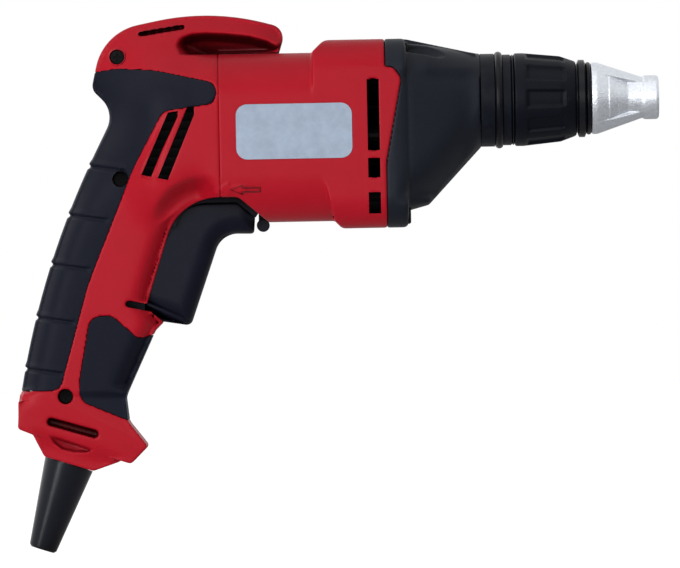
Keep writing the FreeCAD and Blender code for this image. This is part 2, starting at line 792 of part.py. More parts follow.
grip_rear = side_face(side_corners(REAR_GRIP_SHARES))
grip_palm = side_face(side_corners(PALM_GRIP_SHARES))
skin = form.cut(pocket_form)
grip_reach = BARREL_WIDTH / 2 + GRIP_DEPTH
rear_grips = across(grip_rear, -grip_reach, grip_reach).common(skin)
palm_grips = across(grip_palm, -grip_reach, grip_reach).common(skin)
rear_grips = rear_grips.cut(arch_keep)

shell = form.cut(hollow)
bosses = []
boss_cuts = []
handle_screws = []
for share in HANDLE_SCREW_SHARES:
    x, z = place(*share)
    boss_half = (HOOK_WIDTH if z > barrel_top else HANDLE_WIDTH - BARREL_WALL) / 2
    bosses.append(cross_rod(SCREW_BOSS_RADIUS, x, z, -boss_half, boss_half))
    seat_y = -SCREW_SEAT_DEPTH
    boss_cuts.append(cross_rod(SCREW_HEAD_RADIUS + LOOSE_GAP, x, z, -BARREL_WIDTH, seat_y))
    boss_cuts.append(cross_rod(SCREW_SHANK_RADIUS + FIT_GAP, x, z, seat_y, SCREW_REACH + LOOSE_GAP))
    head = cross_rod(SCREW_HEAD_RADIUS, x, z, seat_y - SCREW_HEAD_HEIGHT, seat_y)
    socket_y = seat_y - SCREW_HEAD_HEIGHT
    for turn in (0, 90):
        slot = box(Vector(-SCREW_SOCKET_SPAN / 2, socket_y, -SCREW_SOCKET_WIDTH / 2),
                   Vector(SCREW_SOCKET_SPAN / 2, socket_y + SCREW_SOCKET_DEPTH, SCREW_SOCKET_WIDTH / 2))
        slot.rotate(Vector(0, 0, 0), Vector(0, 1, 0), turn)
        head = head.cut(slot.translated(Vector(x, 0, z)))
    shank = cross_rod(SCREW_SHANK_RADIUS, x, z, seat_y, SCREW_REACH)
    handle_screws.append(head.fuse(shank).removeSplitter())
parts["handle_screws"] = Part.makeCompound(handle_screws)

switch_front_x, switch_low = place(*SWITCH_SHARES)
switch_rear_x = switch_front_x - SWITCH_LENGTH
switch_high = switch_low + SWITCH_HEIGHT
switch_middle_z = (switch_low + switch_high) / 2
capacitor_x, capacitor_z = place(*CAPACITOR_SHARES)
clamp_x, clamp_z = place(*CLAMP_SHARES)
inner_y = HANDLE_WIDTH / 2 - BARREL_WALL
supports = []
for side in (-1, 1):
    for start_y, x, z in (
        (SWITCH_WIDTH / 2, (switch_front_x + switch_rear_x) / 2, switch_middle_z),
        (CAPACITOR_RADIUS, capacitor_x, capacitor_z),
    ):
        low_y, high_y = sorted((side * (start_y + FIT_GAP), side * (inner_y + BARREL_WALL / 2)))
        supports.append(box(Vector(x - RIB_THICKNESS / 2, low_y, z - RIB_HEIGHT / 2),
                            Vector(x + RIB_THICKNESS / 2, high_y, z + RIB_HEIGHT / 2)))
clamp_cuts = []
clamp_screws = []
clamp = box(Vector(clamp_x - CLAMP_LENGTH / 2, 0, clamp_z - CLAMP_HEIGHT / 2),
            Vector(clamp_x + CLAMP_LENGTH / 2, CLAMP_THICKNESS, clamp_z + CLAMP_HEIGHT / 2))
for side in (-1, 1):
    post_x = clamp_x + side * CLAMP_SCREW_SPREAD / 2
    supports.append(cross_rod(CLAMP_POST_RADIUS, post_x, clamp_z, -inner_y - BARREL_WALL / 2, -TINY))
    clamp = clamp.cut(cross_rod(CLAMP_SCREW_RADIUS + FIT_GAP, post_x, clamp_z, 0, CLAMP_THICKNESS))
    clamp_cuts.append(cross_rod(CLAMP_SCREW_RADIUS + FIT_GAP, post_x, clamp_z, -CLAMP_SCREW_LENGTH, 0))
    screw_end = CLAMP_THICKNESS - CLAMP_SCREW_LENGTH
    head_end = CLAMP_THICKNESS + CLAMP_HEAD_HEIGHT
    shank = cross_rod(CLAMP_SCREW_RADIUS, post_x, clamp_z, screw_end, CLAMP_THICKNESS)
    head = cross_rod(CLAMP_HEAD_RADIUS, post_x, clamp_z, CLAMP_THICKNESS, head_end)
    clamp_screws.append(head.fuse(shank).removeSplitter())
parts["cord_clamp"] = clamp
parts["cord_clamp_screws"] = Part.makeCompound(clamp_screws)

shell = shell.multiFuse(bosses + supports).removeSplitter()
cuts = boss_cuts + clamp_cuts + [trigger_room]
slot_start, slot_end = place(*TRIGGER_SLOT_SHARES[0]), place(*TRIGGER_SLOT_SHARES[1])
cuts.append(across(slot_face(slot_start, slot_end, TRIGGER_SLOT_WIDTH), -HANDLE_WIDTH, HANDLE_WIDTH))
hump_slot = slot_face(place(*HUMP_SLOT_SHARES[0]), place(*HUMP_SLOT_SHARES[1]), HUMP_SLOT_WIDTH)
foot_slot = slot_face(place(*FOOT_SLOT_SHARES[0]), place(*FOOT_SLOT_SHARES[1]), FOOT_SLOT_WIDTH)
for side in (-1, 1):
    outer = HOOK_WIDTH / 2
    low_y, high_y = sorted((side * outer, side * (outer - HUMP_SLOT_DEPTH)))
    cuts.append(across(hump_slot, low_y, high_y))
    outer = HANDLE_WIDTH / 2
    low_y, high_y = sorted((side * outer, side * (outer - FOOT_SLOT_DEPTH)))
    cuts.append(across(foot_slot, low_y, high_y))
    for start, end in REAR_VENT_SHARES:
        vent = slot_face(place(*start), place(*end), REAR_VENT_WIDTH)
        low_y, high_y = sorted((side * HANDLE_WIDTH / 2, side * BARREL_WIDTH))
        cuts.append(across(vent, low_y, high_y))

guard_x, guard_z = place(*GUARD_SEAT_SHARES)
guard_axis = Vector(-math.sin(math.radians(GUARD_TILT)), 0, -math.cos(math.radians(GUARD_TILT)))
guard_seat = Vector(guard_x, 0, guard_z)
cuts.append(Part.makeCylinder(GUARD_NECK_RADIUS + SLIDE_GAP, 2 * BARREL_WALL,
                              guard_seat - guard_axis * 2 * BARREL_WALL, guard_axis))
flange_start = guard_seat - guard_axis * (GUARD_FLANGE_LENGTH + 2 * BARREL_WALL)
cuts.append(Part.makeCylinder(GUARD_FLANGE_RADIUS + LOOSE_GAP, GUARD_FLANGE_LENGTH + BARREL_WALL,
                              flange_start, guard_axis))
shell = shell.cut(Part.makeCompound([rear_grips, palm_grips]))
for cutter in cuts:
    shell = shell.cut(cutter)
far = HANDLE_DROP + HANDLE_REACH
right_half = box(Vector(seam_x - far, -far, -far), Vector(0, 0, far))
left_half = box(Vector(seam_x - far, 0, -far), Vector(0, far, far))


def largest(shape):
    """Biggest solid of a shape."""
    return max(shape.Solids, key=lambda solid: solid.Volume)


for name, half in (("right", right_half), ("left", left_half)):
    parts["handle_shell_" + name] = largest(shell.common(half))
    grip = largest(rear_grips.common(half))
    grip = grip.cut(Part.makeCompound(boss_cuts))
    parts["rear_grip_" + name] = largest(grip)
    parts["palm_grip_" + name] = largest(palm_grips.common(half))


# Motor housing
flange_bar = Part.Face(cross_wire(joint_x - MOTOR_CASE_LENGTH / 2, BARREL_WIDTH / 2, flange_bottom,
                                  flange_top, FLANGE_CORNER)).extrude(Vector(MOTOR_CASE_LENGTH / 2, 0, 0))
flange_side = [
    (joint_x, flange_top, 0),
    (joint_x - FLANGE_LENGTH, flange_top, FLANGE_TOP_RISE),
    (joint_x - FLANGE_LENGTH - FLANGE_TOP_RISE, barrel_top, 0),
    (joint_x - FLANGE_LENGTH - FLANGE_TOP_RISE, motor_z, 0),
    (joint_x - FLANGE_LENGTH + FLANGE_BOTTOM_DROP, barrel_bottom, 0),
    (joint_x - FLANGE_LENGTH + 2 * FLANGE_BOTTOM_DROP, flange_bottom, FLANGE_BOTTOM_DROP),
    (joint_x, flange_bottom, 0),
]
flange_zone = flange_bar.common(side_prism(flange_side, 2 * BARREL_WIDTH))
motor_form = barrel_bar(seam_x, joint_x).fuse(flange_zone).removeSplitter()
motor_form = motor_form.cut(opening_cut)
end_edges = edges_at(motor_form, joint_x)
motor_form = motor_form.makeChamfer(SEAM_CHAMFER, end_edges)

motor_hollow = barrel_bar(seam_x, joint_x, BARREL_WALL).cut(arch_keep)
rim = barrel_bar(seam_x, seam_x + RIM_LENGTH, BARREL_WALL)
rim = rim.cut(barrel_bar(seam_x, seam_x + RIM_LENGTH, BARREL_WALL + RIM_DEPTH))
motor_hollow = motor_hollow.cut(rim)
motor_case = motor_form.cut(motor_hollow)

rib_x = stator_front_x - STATOR_RIB_LENGTH
ribs = []
for turn in range(4):
    reach = (BARREL_HEIGHT if turn % 2 == 0 else BARREL_WIDTH) / 2 - BARREL_WALL / 2
    rib = box(Vector(rib_x, -STATOR_RIB_WIDTH / 2, stator_radius - BARREL_WALL),
              Vector(stator_front_x, STATOR_RIB_WIDTH / 2, reach))
    rib.rotate(Vector(0, 0, 0), Vector(1, 0, 0), 90 * turn)
    ribs.append(rib.translated(Vector(0, 0, motor_z)))
motor_case = motor_case.multiFuse(ribs).cut(rod(stator_radius + FIT_GAP, seam_x, joint_x, motor_z))

lever_x = joint_x - LEVER_PIVOT_SETBACK
lever_floor = barrel_bottom + BARREL_WALL
lever_low = lever_floor + LEVER_FLOOR_GAP
lever_high = lever_low + LEVER_THICKNESS
post = Part.makeCylinder(LEVER_PIVOT_RADIUS, lever_high - lever_floor + BARREL_WALL / 2,
                         Vector(lever_x, 0, lever_floor - BARREL_WALL / 2))
lug_top = place(0, OPENING_SHARES[1][1])[1] + ARCH_WALL / 2
lug = box(Vector(pivot_x - LUG_RADIUS, -LUG_WIDTH / 2, pivot_z),
          Vector(pivot_x + LUG_RADIUS, LUG_WIDTH / 2, lug_top))
lug = lug.fuse(cross_rod(LUG_RADIUS, pivot_x, pivot_z, -LUG_WIDTH / 2, LUG_WIDTH / 2))
lever_gate_width = KNOB_WIDTH + 2 * LEVER_ARM * math.sin(math.radians(LEVER_SWING))
lever_gate_rear = lever_x - LEVER_ARM - KNOB_RADIUS - LEVER_STEM_DEPTH
lever_gate_front = lever_x - LEVER_ARM + LEVER_STEM_DEPTH
lever_gate = box(Vector(lever_gate_rear, -lever_gate_width / 2, flange_bottom),
                 Vector(lever_gate_front, lever_gate_width / 2, lever_high + LEVER_FLOOR_GAP))
tongue_corners = [
    (joint_x + length_share * GEAR_CASE_LENGTH,
     motor_z + height_share * BARREL_HEIGHT,
     arc_share * BARREL_HEIGHT)
    for length_share, height_share, arc_share in TONGUE_SHARES
]
tongues = across(side_face(tongue_corners), -BARREL_WIDTH / 2, BARREL_WIDTH / 2)
tongues = tongues.cut(box(Vector(seam_x, TONGUE_THICKNESS - BARREL_WIDTH / 2, flange_bottom),
                          Vector(0, BARREL_WIDTH / 2 - TONGUE_THICKNESS, flange_top)))
motor_case = motor_case.cut(lever_gate)
motor_case = motor_case.multiFuse([post, lug, tongues]).removeSplitter()
motor_cuts = [cross_rod(TRIGGER_PIN_RADIUS + FIT_GAP, pivot_x, pivot_z, -LUG_WIDTH, LUG_WIDTH)]
vent_x = joint_x - VENT_SETBACK - VENT_WIDTH
for high_share, low_share in VENT_LEVEL_SHARES:
    high = place(0, high_share)[1]
    low = place(0, low_share)[1]
    corners = [
        (vent_x, low, VENT_ROUNDING),
        (vent_x + VENT_WIDTH, low, VENT_ROUNDING),
        (vent_x + VENT_WIDTH, high, VENT_ROUNDING),
        (vent_x, high, VENT_ROUNDING),
    ]
    for side in (-1, 1):
        low_y, high_y = sorted((side * fan_radius / 2, side * BARREL_WIDTH))
        motor_cuts.append(across(side_face(corners), low_y, high_y))
for y, z in case_screw_places:
    motor_cuts.append(rod(CASE_SCREW_SHANK + FIT_GAP, joint_x - CASE_SCREW_LENGTH, joint_x, z, y))
label_x = joint_x - LABEL_SETBACK - LABEL_LENGTH
label_low = motor_z + LABEL_RISE - LABEL_HEIGHT / 2
label_corners = [
    (label_x, label_low, LABEL_CORNER),
    (label_x + LABEL_LENGTH, label_low, LABEL_CORNER),
    (label_x + LABEL_LENGTH, label_low + LABEL_HEIGHT, LABEL_CORNER),
    (label_x, label_low + LABEL_HEIGHT, LABEL_CORNER),
]
label_y = LABEL_THICKNESS - LABEL_PROUD - BARREL_WIDTH / 2
motor_cuts.append(across(side_face(label_corners, SLIDE_GAP), -BARREL_WIDTH, label_y))
parts["rating_plate"] = across(side_face(label_corners), label_y - LABEL_THICKNESS, label_y)
for cutter in motor_cuts:
    motor_case = motor_case.cut(cutter)

arrow_x = joint_x - ARROW_SETBACK - ARROW_LENGTH / 2
arrow_z = -ARROW_DROP
neck_x = arrow_x - ARROW_LENGTH / 2 + ARROW_HEAD_SHARE * ARROW_LENGTH
arrow_corners = [
    (arrow_x - ARROW_LENGTH / 2, arrow_z, 0),
    (neck_x, arrow_z - ARROW_HEAD_WIDTH / 2, 0),
    (neck_x, arrow_z - ARROW_SHAFT_WIDTH / 2, 0),
    (arrow_x + ARROW_LENGTH / 2, arrow_z - ARROW_SHAFT_WIDTH / 2, 0),
    (arrow_x + ARROW_LENGTH / 2, arrow_z + ARROW_SHAFT_WIDTH / 2, 0),
    (neck_x, arrow_z + ARROW_SHAFT_WIDTH / 2, 0),
    (neck_x, arrow_z + ARROW_HEAD_WIDTH / 2, 0),
]
arrow_band = barrel_bar(seam_x, joint_x, -ARROW_RISE).cut(barrel_bar(seam_x, joint_x, BARREL_WALL / 2))
arrows = []
for side in (-1, 1):
    low_y, high_y = sorted((side * STATOR_RIM, side * BARREL_WIDTH))
    arrows.append(across(side_face(arrow_corners), low_y, high_y).common(arrow_band))
motor_case = motor_case.multiFuse(arrows)
parts["motor_housing"] = largest(motor_case.removeSplitter())

# Gear housing
case_flange_x = joint_x + CASE_FLANGE_LENGTH
middle_x = joint_x + CASE_MIDDLE_LENGTH
case_flange = Part.Face(cross_wire(joint_x, BARREL_WIDTH / 2, flange_bottom, flange_top, FLANGE_CORNER))
case_flange = case_flange.extrude(Vector(CASE_FLANGE_LENGTH, 0, 0))
case_flange = case_flange.makeFillet(CASE_ROUNDING, edges_at(case_flange, case_flange_x))
case_flange = case_flange.makeChamfer(SEAM_CHAMFER, edges_at(case_flange, joint_x))


def case_loft(inset):
    """Tapering body of the gear housing, moved inward by inset."""
    top = flange_top - CASE_RIDGE_RISE
    bottom = flange_bottom + 3 * CASE_REAR_TRIM
    rear = cross_wire(joint_x, BARREL_WIDTH / 2 - CASE_REAR_TRIM - inset, bottom + inset,
                      top - inset, CASE_CORNER - inset)
    middle = cross_wire(middle_x, CASE_MIDDLE_WIDTH_SHARE * BARREL_WIDTH / 2 - inset,
                        CASE_MIDDLE_BOTTOM_SHARE * flange_bottom + inset,
                        CASE_MIDDLE_TOP_SHARE * top - inset, CASE_CORNER - inset)
    front_half = COLLAR_RADIUS - inset
    front = cross_wire(collar_rear_x, front_half, -front_half, front_half, front_half - SLIDE_GAP)
    return Part.makeLoft([rear, middle, front], True, True)


gear_case = case_loft(0.0)
ridge_corners = [
    (joint_x, 0, 0),
    (joint_x, flange_top, 0),
    (case_flange_x, flange_top, CASE_ROUNDING),
    (collar_rear_x - CASE_ROUNDING, COLLAR_RADIUS, 0),
    (collar_rear_x - CASE_ROUNDING, 0, 0),
]
ridge = side_prism(ridge_corners, CASE_RIDGE_WIDTH)
gear_case = gear_case.multiFuse([case_flange, ridge]).removeSplitter()
gear_case = gear_case.fuse(rod(SNOUT_RADIUS, collar_rear_x - COLLAR_LENGTH, snout_front_x))
plate_room_x = joint_x + PLATE_THICKNESS
plate_room = barrel_bar(joint_x, plate_room_x, CASE_WALL)
room_zone = box(Vector(plate_room_x, -BARREL_WIDTH, barrel_bottom + CASE_WALL),
                Vector(middle_x, BARREL_WIDTH, barrel_top - CASE_WALL))
lower_room = case_loft(CASE_WALL).common(room_zone)
case_cuts = [
    plate_room,
    lower_room,
    rod(CASE_CHAMBER_RADIUS, plate_room_x, chamber_front_x),
    rod(PINION_ROOM_RADIUS, plate_room_x, joint_x + GEAR_START + GEAR_WIDTH + 2 * PINION_OVERHANG, motor_z),
    rod(BUSH_RADIUS, chamber_front_x, seal_x + SEAL_LENGTH + SEAL_GAP),
    rod(SNOUT_FRONT_BORE, chamber_front_x, snout_front_x),
    tube(SNOUT_RADIUS, SNOUT_RADIUS - RETAINER_DEPTH, sleeve_rear_x + SLEEVE_HUB_LENGTH + SLIDE_GAP,
         sleeve_rear_x + SLEEVE_HUB_LENGTH + RETAINER_THICKNESS + 3 * SLIDE_GAP),
    across(side_face(tongue_corners, SLIDE_GAP), -BARREL_WIDTH,
           TONGUE_THICKNESS + SLIDE_GAP - BARREL_WIDTH / 2),
    across(side_face(tongue_corners, SLIDE_GAP),
           BARREL_WIDTH / 2 - TONGUE_THICKNESS - SLIDE_GAP, BARREL_WIDTH),
]
retainer_x = sleeve_rear_x + SLEEVE_HUB_LENGTH + 2 * SLIDE_GAP
key_rear_x = retainer_x + RETAINER_THICKNESS + KEY_WIDTH
keyway_half = KEY_WIDTH / 2 + SLIDE_GAP
for side in (-1, 1):
    low_z, high_z = sorted((side * (SNOUT_RADIUS - KEY_HEIGHT - SLIDE_GAP), side * 2 * SNOUT_RADIUS))
    case_cuts.append(box(Vector(key_rear_x - KEY_WIDTH, -keyway_half, low_z),
                         Vector(snout_front_x, keyway_half, high_z)))
case_screws = []
for y, z in case_screw_places:
    case_cuts.append(rod(CASE_SCREW_SHANK + SLIDE_GAP, joint_x, case_flange_x, z, y))
    case_cuts.append(rod(CASE_SCREW_HEAD + LOOSE_GAP, case_flange_x - CASE_ROUNDING, collar_rear_x, z, y))
    head_x = case_flange_x - CASE_ROUNDING
    head = rod(CASE_SCREW_HEAD, head_x, head_x + CASE_SCREW_HEAD_HEIGHT, z, y)
    head = head.makeFillet(SEAM_CHAMFER, edges_at(head, head_x + CASE_SCREW_HEAD_HEIGHT))
    for turn in (0, 90):
        slot_floor = CASE_SCREW_HEAD_HEIGHT - SCREW_SOCKET_DEPTH
        slot = box(Vector(slot_floor, -SCREW_SOCKET_SPAN / 2, -SCREW_SOCKET_WIDTH / 2),
                   Vector(CASE_SCREW_HEAD_HEIGHT, SCREW_SOCKET_SPAN / 2, SCREW_SOCKET_WIDTH / 2))
        slot.rotate(Vector(0, 0, 0), Vector(1, 0, 0), turn)
        head = head.cut(slot.translated(Vector(head_x, y, z)))
    shank = rod(CASE_SCREW_SHANK, head_x - CASE_FLANGE_LENGTH - CASE_SCREW_LENGTH / 2, head_x, z, y)
    case_screws.append(head.fuse(shank).removeSplitter())
parts["gear_housing_screws"] = Part.makeCompound(case_screws)
for cutter in case_cuts:
    gear_case = gear_case.cut(cutter)
parts["gear_housing"] = largest(gear_case.removeSplitter())

plate = barrel_bar(joint_x, joint_x + PLATE_THICKNESS, CASE_WALL + SLIDE_GAP)
bearing_rear_x = joint_x + BEARING_SETBACK
bearing_front_x = bearing_rear_x + FRONT_BEARING_WIDTH
hub_front_x = bearing_front_x + BEARING_POCKET_WALL
gear_bush_x = joint_x + GEAR_BUSH_START
gear_bush_end = gear_bush_x + GEAR_BUSH_LENGTH
gear_bush_radius = GEAR_JOURNAL_RADIUS + GEAR_BUSH_WALL
plate = plate.multiFuse([
    rod(PLATE_HUB_RADIUS, joint_x, hub_front_x, motor_z),
    rod(PLATE_BUSH_HUB_RADIUS, joint_x, gear_bush_end),
])
plate = plate.removeSplitter()
for cutter in (
    rod(FRONT_BEARING_OUTSIDE / 2 + FIT_GAP, joint_x, bearing_front_x, motor_z),
    rod(PLATE_SHAFT_HOLE, joint_x, hub_front_x, motor_z),
    rod(gear_bush_radius + FIT_GAP, gear_bush_x, gear_bush_end),
):
    plate = plate.cut(cutter)
parts["bearing_plate"] = plate


# Gear train
def tooth_wire(teeth, shift, x, first_angle):
    """Outline of a spur gear at x, its first tooth at first_angle (degrees from +Y)."""
    pitch_radius = GEAR_MODULE * teeth / 2
    pressure = math.radians(PRESSURE_ANGLE)
    base_radius = pitch_radius * math.cos(pressure)
    tip_radius = pitch_radius + (ADDENDUM_SHARE + shift) * GEAR_MODULE
    root_radius = pitch_radius - (DEDENDUM_SHARE - shift) * GEAR_MODULE
    thickness = GEAR_MODULE * (math.pi / 2 + 2 * shift * math.tan(pressure)) - GEAR_BACKLASH / 2
    start_radius = max(base_radius, root_radius)

    def half_angle(radius):
        local = math.acos(min(1, base_radius / radius))
        rise = math.tan(pressure) - pressure - math.tan(local) + local
        return thickness / (2 * pitch_radius) + rise

    def at(radius, angle):
        return Vector(x, radius * math.cos(angle), radius * math.sin(angle))

    def arc(first, middle, last):
        return Part.Arc(first, middle, last).toShape()

    edges = []
    middle_radius = (start_radius + tip_radius) / 2
    step = 2 * math.pi / teeth
    foot_angle = half_angle(start_radius)
    for index in range(teeth):
        centre = math.radians(first_angle) + index * step
        radii = (start_radius, middle_radius, tip_radius)
        rise = [at(radius, centre - half_angle(radius)) for radius in radii]
        fall = [at(radius, centre + half_angle(radius)) for radius in reversed(radii)]
        root_rise = at(root_radius, centre - foot_angle)
        root_fall = at(root_radius, centre + foot_angle)
        root_next = at(root_radius, centre + step - foot_angle)
        root_middle = at(root_radius, centre + step / 2)
        if start_radius > root_radius:
            edges.append(Part.makeLine(root_rise, rise[0]))
        edges.append(arc(*rise))
        edges.append(arc(rise[2], at(tip_radius, centre), fall[0]))
        edges.append(arc(*fall))
        if start_radius > root_radius:
            edges.append(Part.makeLine(fall[2], root_fall))
        edges.append(arc(root_fall, root_middle, root_next))
    return Part.Wire(edges)


gear_x = joint_x + GEAR_START
gear_disc = Part.Face(tooth_wire(GEAR_TEETH, -GEAR_SHIFT_SHARE, gear_x, 180 / GEAR_TEETH - 90))
gear_disc = gear_disc.extrude(Vector(GEAR_WIDTH, 0, 0))
drive_gear = gear_disc.multiFuse([
    rod(GEAR_JOURNAL_RADIUS, gear_bush_x + SLIDE_GAP, gear_x),
    rod(GEAR_SHOULDER_RADIUS, gear_x - GEAR_SHOULDER_LENGTH, gear_x),
])
for index in range(JAW_COUNT):
    jaw_angle = 360 * index / JAW_COUNT
    drive_gear = drive_gear.fuse(sector(JAW_OUTER_RADIUS, JAW_INNER_RADIUS, gear_front_x - GEAR_BACKLASH,
                                        gear_front_x + JAW_HEIGHT, 0, jaw_angle, JAW_SPAN))
drive_gear = drive_gear.removeSplitter()
drive_gear = drive_gear.cut(rod(PILOT_RADIUS + FIT_GAP, gear_bush_x, gear_front_x))
drive_gear = drive_gear.cut(rod(SPRING_POCKET_RADIUS, gear_front_x - GEAR_POCKET_DEPTH, gear_front_x))
parts["drive_gear"] = drive_gear
parts["gear_bush"] = tube(gear_bush_radius, GEAR_JOURNAL_RADIUS + FIT_GAP, gear_bush_x, gear_bush_end)

# Spindle group
detent_x = -SPINDLE_FRONT - DETENT_SETBACK
spindle = rod(SPINDLE_RADIUS, spindle_flange_x, -SPINDLE_FRONT)
spindle = spindle.multiFuse([
    rod(JAW_OUTER_RADIUS, spindle_flange_x, spindle_flange_x + SPINDLE_FLANGE_LENGTH),
    rod(PILOT_RADIUS, spindle_flange_x - PILOT_LENGTH, spindle_flange_x),
])
for index in range(JAW_COUNT):
    jaw_angle = 360 * (index + 1 / 2) / JAW_COUNT
    spindle = spindle.fuse(sector(JAW_OUTER_RADIUS, JAW_INNER_RADIUS, spindle_jaw_x,
                                  spindle_flange_x + GEAR_BACKLASH, 0, jaw_angle, JAW_SPAN))
spindle = spindle.removeSplitter()
hex_rear_x = -SPINDLE_FRONT - HEX_SHANK_LENGTH - HEX_SOCKET_ROOM
ring_seat = SPINDLE_RADIUS - DETENT_RING_THICKNESS / 2
ball_z = HEX_SHANK_FLATS / 2 + DETENT_BALL_RADIUS + SLIDE_GAP
for cutter in (
    tube(SPRING_POCKET_RADIUS, PILOT_RADIUS, spindle_flange_x, spindle_flange_x + FLANGE_POCKET_DEPTH),
    hex_bar(HEX_SOCKET_FLATS, hex_rear_x, -SPINDLE_FRONT),
    tube(2 * SPINDLE_RADIUS, ring_seat, detent_x - DETENT_RING_WIDTH / 2 - SLIDE_GAP,
         detent_x + DETENT_RING_WIDTH / 2 + SLIDE_GAP),
    Part.makeCylinder(DETENT_BALL_RADIUS + FIT_GAP, SPINDLE_RADIUS, Vector(detent_x, 0, 0)),
):
    spindle = spindle.cut(cutter)
parts["spindle"] = spindle
parts["detent_ball"] = Part.makeSphere(DETENT_BALL_RADIUS, Vector(detent_x, 0, ball_z))
detent_ring = tube(ring_seat + DETENT_RING_THICKNESS, ring_seat + FIT_GAP,
                   detent_x - DETENT_RING_WIDTH / 2, detent_x + DETENT_RING_WIDTH / 2)
ring_gap = Part.makeCylinder(DETENT_BALL_RADIUS, 2 * SPINDLE_RADIUS, Vector(detent_x, 0, 0), Vector(0, 0, -1))
detent_ring = detent_ring.cut(ring_gap)
parts["detent_ring"] = detent_ring
socket_x = -BIT_HOLDER_FRONT - BIT_SOCKET_DEPTH
holder = hex_bar(HEX_SHANK_FLATS, -SPINDLE_FRONT - HEX_SHANK_LENGTH, -SPINDLE_FRONT + HEX_SOCKET_ROOM)
holder_body = rod(BIT_HOLDER_RADIUS, -SPINDLE_FRONT + SLIDE_GAP, -BIT_HOLDER_FRONT)
holder_body = holder_body.makeChamfer(BIT_SOCKET_CHAMFER, edges_at(holder_body, -BIT_HOLDER_FRONT))
holder = holder.fuse(holder_body).removeSplitter()
holder = holder.cut(hex_bar(HEX_SOCKET_FLATS, socket_x, -BIT_HOLDER_FRONT))
holder = holder.cut(rod(MAGNET_RADIUS + FIT_GAP, socket_x - MAGNET_LENGTH, socket_x))
parts["bit_holder"] = holder
parts["bit_magnet"] = rod(MAGNET_RADIUS, socket_x - MAGNET_LENGTH, socket_x)
spring_start = gear_front_x - GEAR_POCKET_DEPTH
spring_length = spindle_flange_x + FLANGE_POCKET_DEPTH - spring_start
clutch_spring = coil(CLUTCH_COIL_RADIUS, CLUTCH_WIRE_RADIUS, spring_length - 2 * SLIDE_GAP, CLUTCH_COILS)
clutch_spring = on_x_axis(clutch_spring, Vector(spring_start + SLIDE_GAP, 0, 0))
parts["clutch_spring"] = clutch_spring
parts["thrust_washer"] = tube(JAW_OUTER_RADIUS, SPINDLE_RADIUS + SLIDE_GAP, washer_x + WASHER_GAP,
                              washer_x + WASHER_GAP + WASHER_THICKNESS)
parts["spindle_bush"] = tube(BUSH_RADIUS - FIT_GAP, SPINDLE_RADIUS + FIT_GAP, bush_x, bush_x + BUSH_LENGTH)
parts["spindle_seal"] = tube(BUSH_RADIUS - FIT_GAP, SPINDLE_RADIUS + SLIDE_GAP,
                             seal_x, seal_x + SEAL_LENGTH)

# Depth collar, sleeve, carrier and nose
ring_x = collar_front_x - COLLAR_RING_SETBACK
ring_mean = COLLAR_RADIUS + COLLAR_RING_PROUD - COLLAR_RING_RADIUS
collar_bore = SNOUT_RADIUS + FIT_GAP
groove_half = COLLAR_RING_RADIUS + SLIDE_GAP
groove_floor = ring_mean - COLLAR_RING_RADIUS - FIT_GAP
parts["depth_collar"] = turned([
    (collar_rear_x, collar_bore),
    (collar_rear_x, COLLAR_RADIUS),
    (ring_x - groove_half, COLLAR_RADIUS),
    (ring_x - groove_half, groove_floor),
    (ring_x + groove_half, groove_floor),
    (ring_x + groove_half, COLLAR_RADIUS - COLLAR_CHAMFER),
    (collar_front_x - COLLAR_CHAMFER, COLLAR_RADIUS - COLLAR_CHAMFER),
    (collar_front_x, COLLAR_RADIUS - 2 * COLLAR_CHAMFER),
    (collar_front_x, collar_bore),
])
parts["collar_o_ring"] = ring(ring_mean, COLLAR_RING_RADIUS, ring_x)
waist_x = sleeve_rear_x + SLEEVE_STRAIGHT_SHARE * SLEEVE_LENGTH
waist_radius = SLEEVE_WAIST_SHARE * COLLAR_RADIUS
hub_x = sleeve_rear_x + SLEEVE_HUB_LENGTH
sleeve = turned([
    (sleeve_rear_x, SNOUT_RADIUS + SLIDE_GAP),
    (sleeve_rear_x, COLLAR_RADIUS - SLEEVE_CHAMFER),
    (sleeve_rear_x + SLEEVE_CHAMFER, COLLAR_RADIUS),
    (sleeve_rear_x + SLEEVE_HUB_LENGTH, COLLAR_RADIUS),
    (waist_x, waist_radius),
    (sleeve_front_x - SLEEVE_CHAMFER, SLEEVE_FRONT_RADIUS),
    (sleeve_front_x, SLEEVE_FRONT_RADIUS - SLEEVE_CHAMFER),
    (sleeve_front_x, SLEEVE_BORE),
    (hub_x, SLEEVE_BORE),
    (hub_x, SNOUT_RADIUS + SLIDE_GAP),
])
flute_x = sleeve_rear_x + FLUTE_START_SHARE * SLEEVE_LENGTH
for index in range(FLUTE_COUNT):
    flute_radius = COLLAR_RADIUS + FLUTE_RADIUS - FLUTE_DEPTH
    flute_start = Vector(flute_x, 0, flute_radius)
    flute = Part.makeCylinder(FLUTE_RADIUS, SLEEVE_LENGTH, flute_start, Vector(1, 0, 0))
    flute = flute.fuse(Part.makeSphere(FLUTE_RADIUS, flute_start))
    flute.rotate(Vector(flute_x, 0, 0), Vector(0, 1, 0), SLEEVE_TILT)
    flute.rotate(Vector(0, 0, 0), Vector(1, 0, 0), 360 * (index + 1 / 2) / FLUTE_COUNT)
    sleeve = sleeve.cut(flute)
parts["depth_sleeve"] = sleeve
retainer = tube(SNOUT_RADIUS + RETAINER_PROUD, SNOUT_RADIUS - RETAINER_DEPTH + FIT_GAP, retainer_x,
                retainer_x + RETAINER_THICKNESS)
retainer = retainer.cut(box(Vector(retainer_x, -KEY_WIDTH, 0),
                            Vector(retainer_x + RETAINER_THICKNESS, KEY_WIDTH, 2 * SNOUT_RADIUS)))
parts["sleeve_retaining_ring"] = retainer

